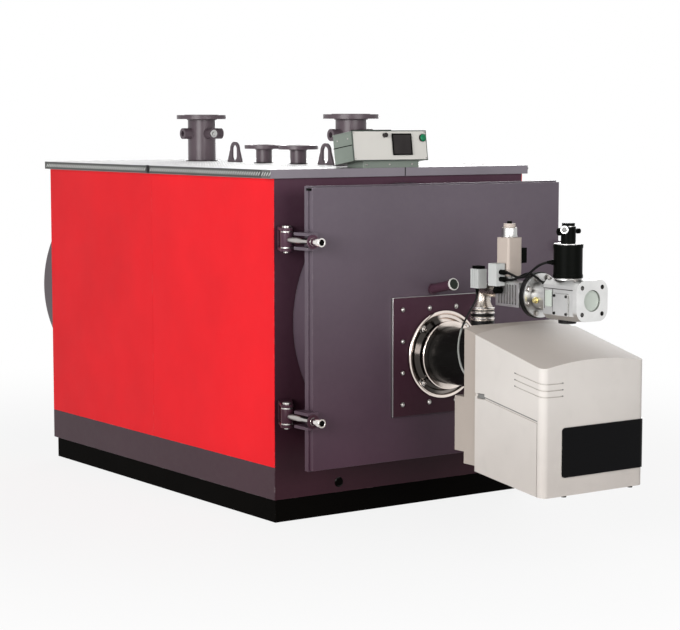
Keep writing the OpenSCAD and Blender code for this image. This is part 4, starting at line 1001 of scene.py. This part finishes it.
def make_control_frames():
    """Frame of the display, dark folds of the lid and frame of the fascia."""
    bm = bmesh.new()
    box_frame(bm, (0.008, 0.021), (0.112, 0.114), (0.005, 0.005), (-0.0075, -0.0045), 0.001)
    piece("display_frame", bm, "boiler", "display_black", "coil_black")
    bm = bmesh.new()
    rounded_box(bm, (-0.194, 0.0045, 0.1265), (0.015, 0.012, 0.1318), 0.0010, BOX)
    side_boxes(bm, (BOX_HALF - 0.0025, BOX_HALF - 0.0002), (0.012, 0.146), (0.0664, 0.0698), 0.0005, BOX)
    piece("box_folds", bm, "boiler", "display_black", "coil_black")
    bm = bmesh.new()
    edge = BOX_HALF + 0.0012
    box_frame(bm, (-edge, -0.0012), (edge, 0.1282), (0.0036, 0.0040), (-0.0012, 0.0068), 0.0011)
    piece("fascia_frame", bm, "boiler", "box_green", "box_edge")


turned("control_lamp_lens", [(0.0158, 0), (0.0158, 0.002), (0.0135, 0.0042), (0.008, 0.0058), (0, 0.0064)],
       on_box(0.174, -0.008, 0.095), BOX_FRONT, 32, "boiler", "display_black", "lens_green")
make_control_screws()
make_control_frames()


# Gas train: main valve with its coil, governor valve and elbow, from the inlet to the burner

GAS_Z = 0.990
INLET_Y = -2.192
COIL_Y = -2.064
VALVE_Y = -1.713
ELBOW_Y = -1.547
VALVE_SIDE = 0.0622
DAMPER_AT = (-0.0425, COIL_Y - 0.0255, 1.259)
DAMPER_AXIS = (-0.80, -0.60, 0)


def make_valve_seams_and_under_shade():
    """Dark screws and seams on the sides of the main valve, and a dark cap under it as painted shade of its
    underside.
    """
    bm = bmesh.new()
    for side in (-1, 1):
        for y in (-2.130, -2.062):
            for z in (0.936, 1.004):
                hex_bolt(bm, (side * 0.068, y, z), (side, 0, 0), 0.0060, 0.004, washer=False)
    skin = (VALVE_SIDE - 0.0004, VALVE_SIDE + 0.0004)
    joint = (1.0282, 1.0308)
    side_boxes(bm, skin, (-2.1672, -1.9928), joint, 0.0003)
    side_boxes(bm, skin, (-2.0485, -2.0455), (0.934, joint[0]), 0.0003)
    side_boxes(bm, skin, (-2.0015, -1.9985), (0.950, joint[0]), 0.0003)
    # Dark cap under the valve: painted shade of its underside over the hood.
    lathe(bm, [(0.0346, 0.0004), (0.0352, 0.001), (0.0352, 0.0146), (0.0340, 0.0156), (0.020, 0.0156)],
          (0, COIL_Y, 0.908), (0, 0, -1), 40)
    piece("valve_seams_and_under_shade", bm, "door", "coil_black", "flange_dark")


def make_valve_bolts():
    """Bolts on top of the main valve, round its flange and under the actuator."""
    bm = bmesh.new()
    for x in (-0.03854, 0.03854):
        for y in (COIL_Y - 0.088, COIL_Y + 0.060):
            hex_bolt(bm, (x, y, 1.064), UP, 0.007, 0.005)
    for angle, centre in round_places(0.075, 8, 22.5, -1.912, GAS_Z):
        hex_bolt(bm, centre, OUT, 0.0095, 0.008, phase=angle)
    for k in range(4):
        a = math.radians(45 + 90 * k)
        centre = (0.034 * math.cos(a), VALVE_Y + 0.034 * math.sin(a) * 0.8, 1.035)
        hex_bolt(bm, centre, UP, 0.005, 0.004, washer=False)
    piece("valve_bolts", bm, "door", "fastener_steel")


def make_valve_fittings():
    """Brass test nipple, plate on the valve's side and disc in the open inlet."""
    turned("test_nipple", [(0, 0), (0.013, 0), (0.013, 0.004), (0.0095, 0.005), (0.0095, 0.013),
                           (0.008, 0.015), (0, 0.015)],
           (-0.0565, -1.945, 0.976), (-1, 0, 0), 24, "door", "fastener_steel", "brass")
    bm = bmesh.new()
    rounded_box(bm, (-0.0642, -2.043, 0.958), (-0.0618, -2.003, 1.022), 0.001)
    piece("valve_plate", bm, "door", "switch_grey", "cap_grey")
    turned("inlet_disc", [(0.0415, 0.0), (0.0415, -0.0022), (0.039, -0.003), (0.0375, -0.0018), (0, -0.0018)],
           (0, INLET_Y, GAS_Z), BACK, 48, "door", "switch_grey", "cap_grey")


def make_coil_fittings():
    """Washer and ring of the coil, the damper's ring with its eye, and the actuator's cap."""
    bm = bmesh.new()
    lathe(bm, [(0.0295, 0), (0.0560, 0), (0.0560, 0.002), (0.054, 0.003), (0.0295, 0.003)],
          (0, COIL_Y, 1.201), UP, 48)
    lathe(bm, [(0.0255, 0), (0.0262, 0), (0.0262, 0.003), (0.0255, 0.003)], (0, COIL_Y, 1.268), UP, 40)
    piece("coil_washer", bm, "door", "valve_silver")
    turned("damper_ring", [(0.0045, -0.0235), (0.0045, 0.0), (0.0160, 0.0), (0.0160, 0.005), (0.0145, 0.0065),
                           (0.0105, 0.0065), (0.0094, 0.005), (0.0090, 0.0012), (0, 0.0012)],
           DAMPER_AT, DAMPER_AXIS, 32, "door", "valve_silver")
    turned("damper_eye", [(0.0091, 0.0008), (0.0091, 0.0040), (0.0078, 0.0048), (0, 0.0048)],
           DAMPER_AT, DAMPER_AXIS, 28, "door", "coil_black", "lead_grey")
    turned("actuator_cap", [(0.0302, 0.0005), (0.0325, 0.001), (0.0325, 0.006), (0.0308, 0.007),
                            (0.0306, 0.036), (0.0290, 0.0396), (0.0250, 0.0404)],
           (0, VALVE_Y, 1.211), UP, 40, "door", "valve_silver", "cap_silver")


def make_elbow_rings():
    """Bright beads round the upright end of the elbow, and dark bands of painted shade in its grooves and
    gaps.
    """
    bright, dark = bmesh.new(), bmesh.new()
    for z in (0.871, 0.8935, 0.9145):
        tube_ring(bright, (0, ELBOW_Y, z), UP, 0.0480, 0.0034)
    piece("elbow_beads", bright, "door", "bright_steel")
    # Dark bands: painted shade in the grooves and gaps of the elbow's end.
    inner, outer, slope = 0.0470, 0.0489, 0.0006
    for low, high in ((0.8430, 0.8620), (0.8780, 0.8895), (0.9000, 0.9065)):
        lathe(dark, [(inner, low), (outer, low + slope), (outer, high - slope), (inner, high)],
              (0, ELBOW_Y, 0), UP, 48)
    piece("elbow_groove_shade", dark, "door", "coil_black", "flange_dark")


make_valve_seams_and_under_shade()
make_valve_bolts()
make_valve_fittings()
make_coil_fittings()
make_elbow_rings()


# Burner cover: dark blocks of painted shade in the notches, dark strips of painted shade in the parting
# grooves, and dots at the ends of the lines

COVER_SIDE = 0.265
COVER_FRONT = -2.226
GROOVE_X = 0.2613
GROOVE_START_Y = -1.8231
GROOVE_START_Z = 0.603
GROOVE_FALL = 0.071 / 0.401


def groove_shade_strip(bm, side):
    """Adds a dark strip of painted shade in the sloping groove of the left (-1) or right (1) side."""
    low, high = 0.0062, 0.0108
    corners = []
    for y, rises in ((-1.8835, (low, high)), (-2.1945, (high, low))):
        groove_z = GROOVE_START_Z - GROOVE_FALL * (GROOVE_START_Y - y)
        corners += [Vector((side * GROOVE_X, y, groove_z + rise)) for rise in rises]
    lift = Vector((side * 0.0012, 0, 0))
    inner = [bm.verts.new(corner) for corner in corners]
    outer = [bm.verts.new(corner + lift) for corner in corners]
    for k in range(4):
        after = (k + 1) % 4
        bm.faces.new((inner[k], inner[after], outer[after], outer[k]))
    bm.faces.new(outer)


def make_cover_details():
    bm = bmesh.new()
    # Dark blocks in the notches: painted shade.
    side_boxes(bm, (0.2556, 0.2610), (-1.880, -1.840), (0.5935, 0.6125), 0.002)
    piece("cover_notch_shade", bm, "door", "coil_black", "lead_grey")
    bm = bmesh.new()
    # Dark strips in the grooves: painted shade.
    groove_shade_strip(bm, -1)
    groove_shade_strip(bm, 1)
    dot = [(0.0032, 0), (0.0030, 0.0006), (0.0016, 0.0010), (0, 0.0010)]
    for i in range(3):
        rise = 0.025 * i
        lathe(bm, dot, (-COVER_SIDE, -2.064, 0.6667 + rise), (-1, 0, 0), 16)
        lathe(bm, dot, (-0.165, COVER_FRONT, 0.638 + rise), OUT, 16)
    piece("cover_groove_shade_and_dots", bm, "door", "cable_black", "lead_grey")


make_cover_details()


# Rear end: bolts of the flue ring and the smokebox rim

def make_rear_bolts():
    bm = bmesh.new()
    for angle, centre in round_places(0.190, 8, 22.5, 1.2995, SHELL_Z):
        hex_bolt(bm, centre, BACK, 0.0085, 0.007, phase=angle)
    for angle, centre in round_places(0.545, 16, 11.25, 1.2895, SHELL_Z):
        hex_bolt(bm, centre, BACK, 0.0105, 0.008, phase=angle)
    piece("rear_bolts", bm, "boiler", "fastener_steel")


make_rear_bolts()


# Floor: white all round, with a soft shadow near the boiler

def make_floor():
    mesh = bpy.data.meshes.new("floor")
    half = 60
    corners = [(-half, -half, 0), (half, -half, 0), (half, half, 0), (-half, half, 0)]
    mesh.from_pydata(corners, [], [(0, 1, 2, 3)])
    floor = bpy.data.objects.new("floor", mesh)
    bpy.context.scene.collection.objects.link(floor)
    p = Paint("floor_white")
    seen = seen_directly(p.tree)
    pale = p.ramp(p.noise(0.8, 2), (0.3, (0.60, 0.60, 0.60)), (0.7, (0.63, 0.63, 0.63)))
    mesh.materials.append(p.set(p.mix(seen, (0.22, 0.22, 0.22), pale), 0.8))
    glow = p.node("ShaderNodeEmission")
    glow.inputs["Color"].default_value = (1, 1, 1, 1)
    reach = p.node("ShaderNodeVectorMath", operation="LENGTH")
    p.link(p.coords, reach.inputs[0])
    fade = p.node("ShaderNodeMapRange", interpolation_type="SMOOTHSTEP",
                  From_Min=1.2, From_Max=4.6, To_Min=0.86, To_Max=1.0)
    p.link(reach.outputs["Value"], fade.inputs["Value"])
    share = p.math("MULTIPLY", seen, fade.outputs[0])
    blend = p.node("ShaderNodeMixShader")
    p.link(share, blend.inputs["Fac"])
    p.link(p.shader.outputs[0], blend.inputs[1])
    p.link(glow.outputs[0], blend.inputs[2])
    p.link(blend.outputs[0], p.tree.nodes["Material Output"].inputs["Surface"])
    floor.location.z = -0.0005


make_floor()
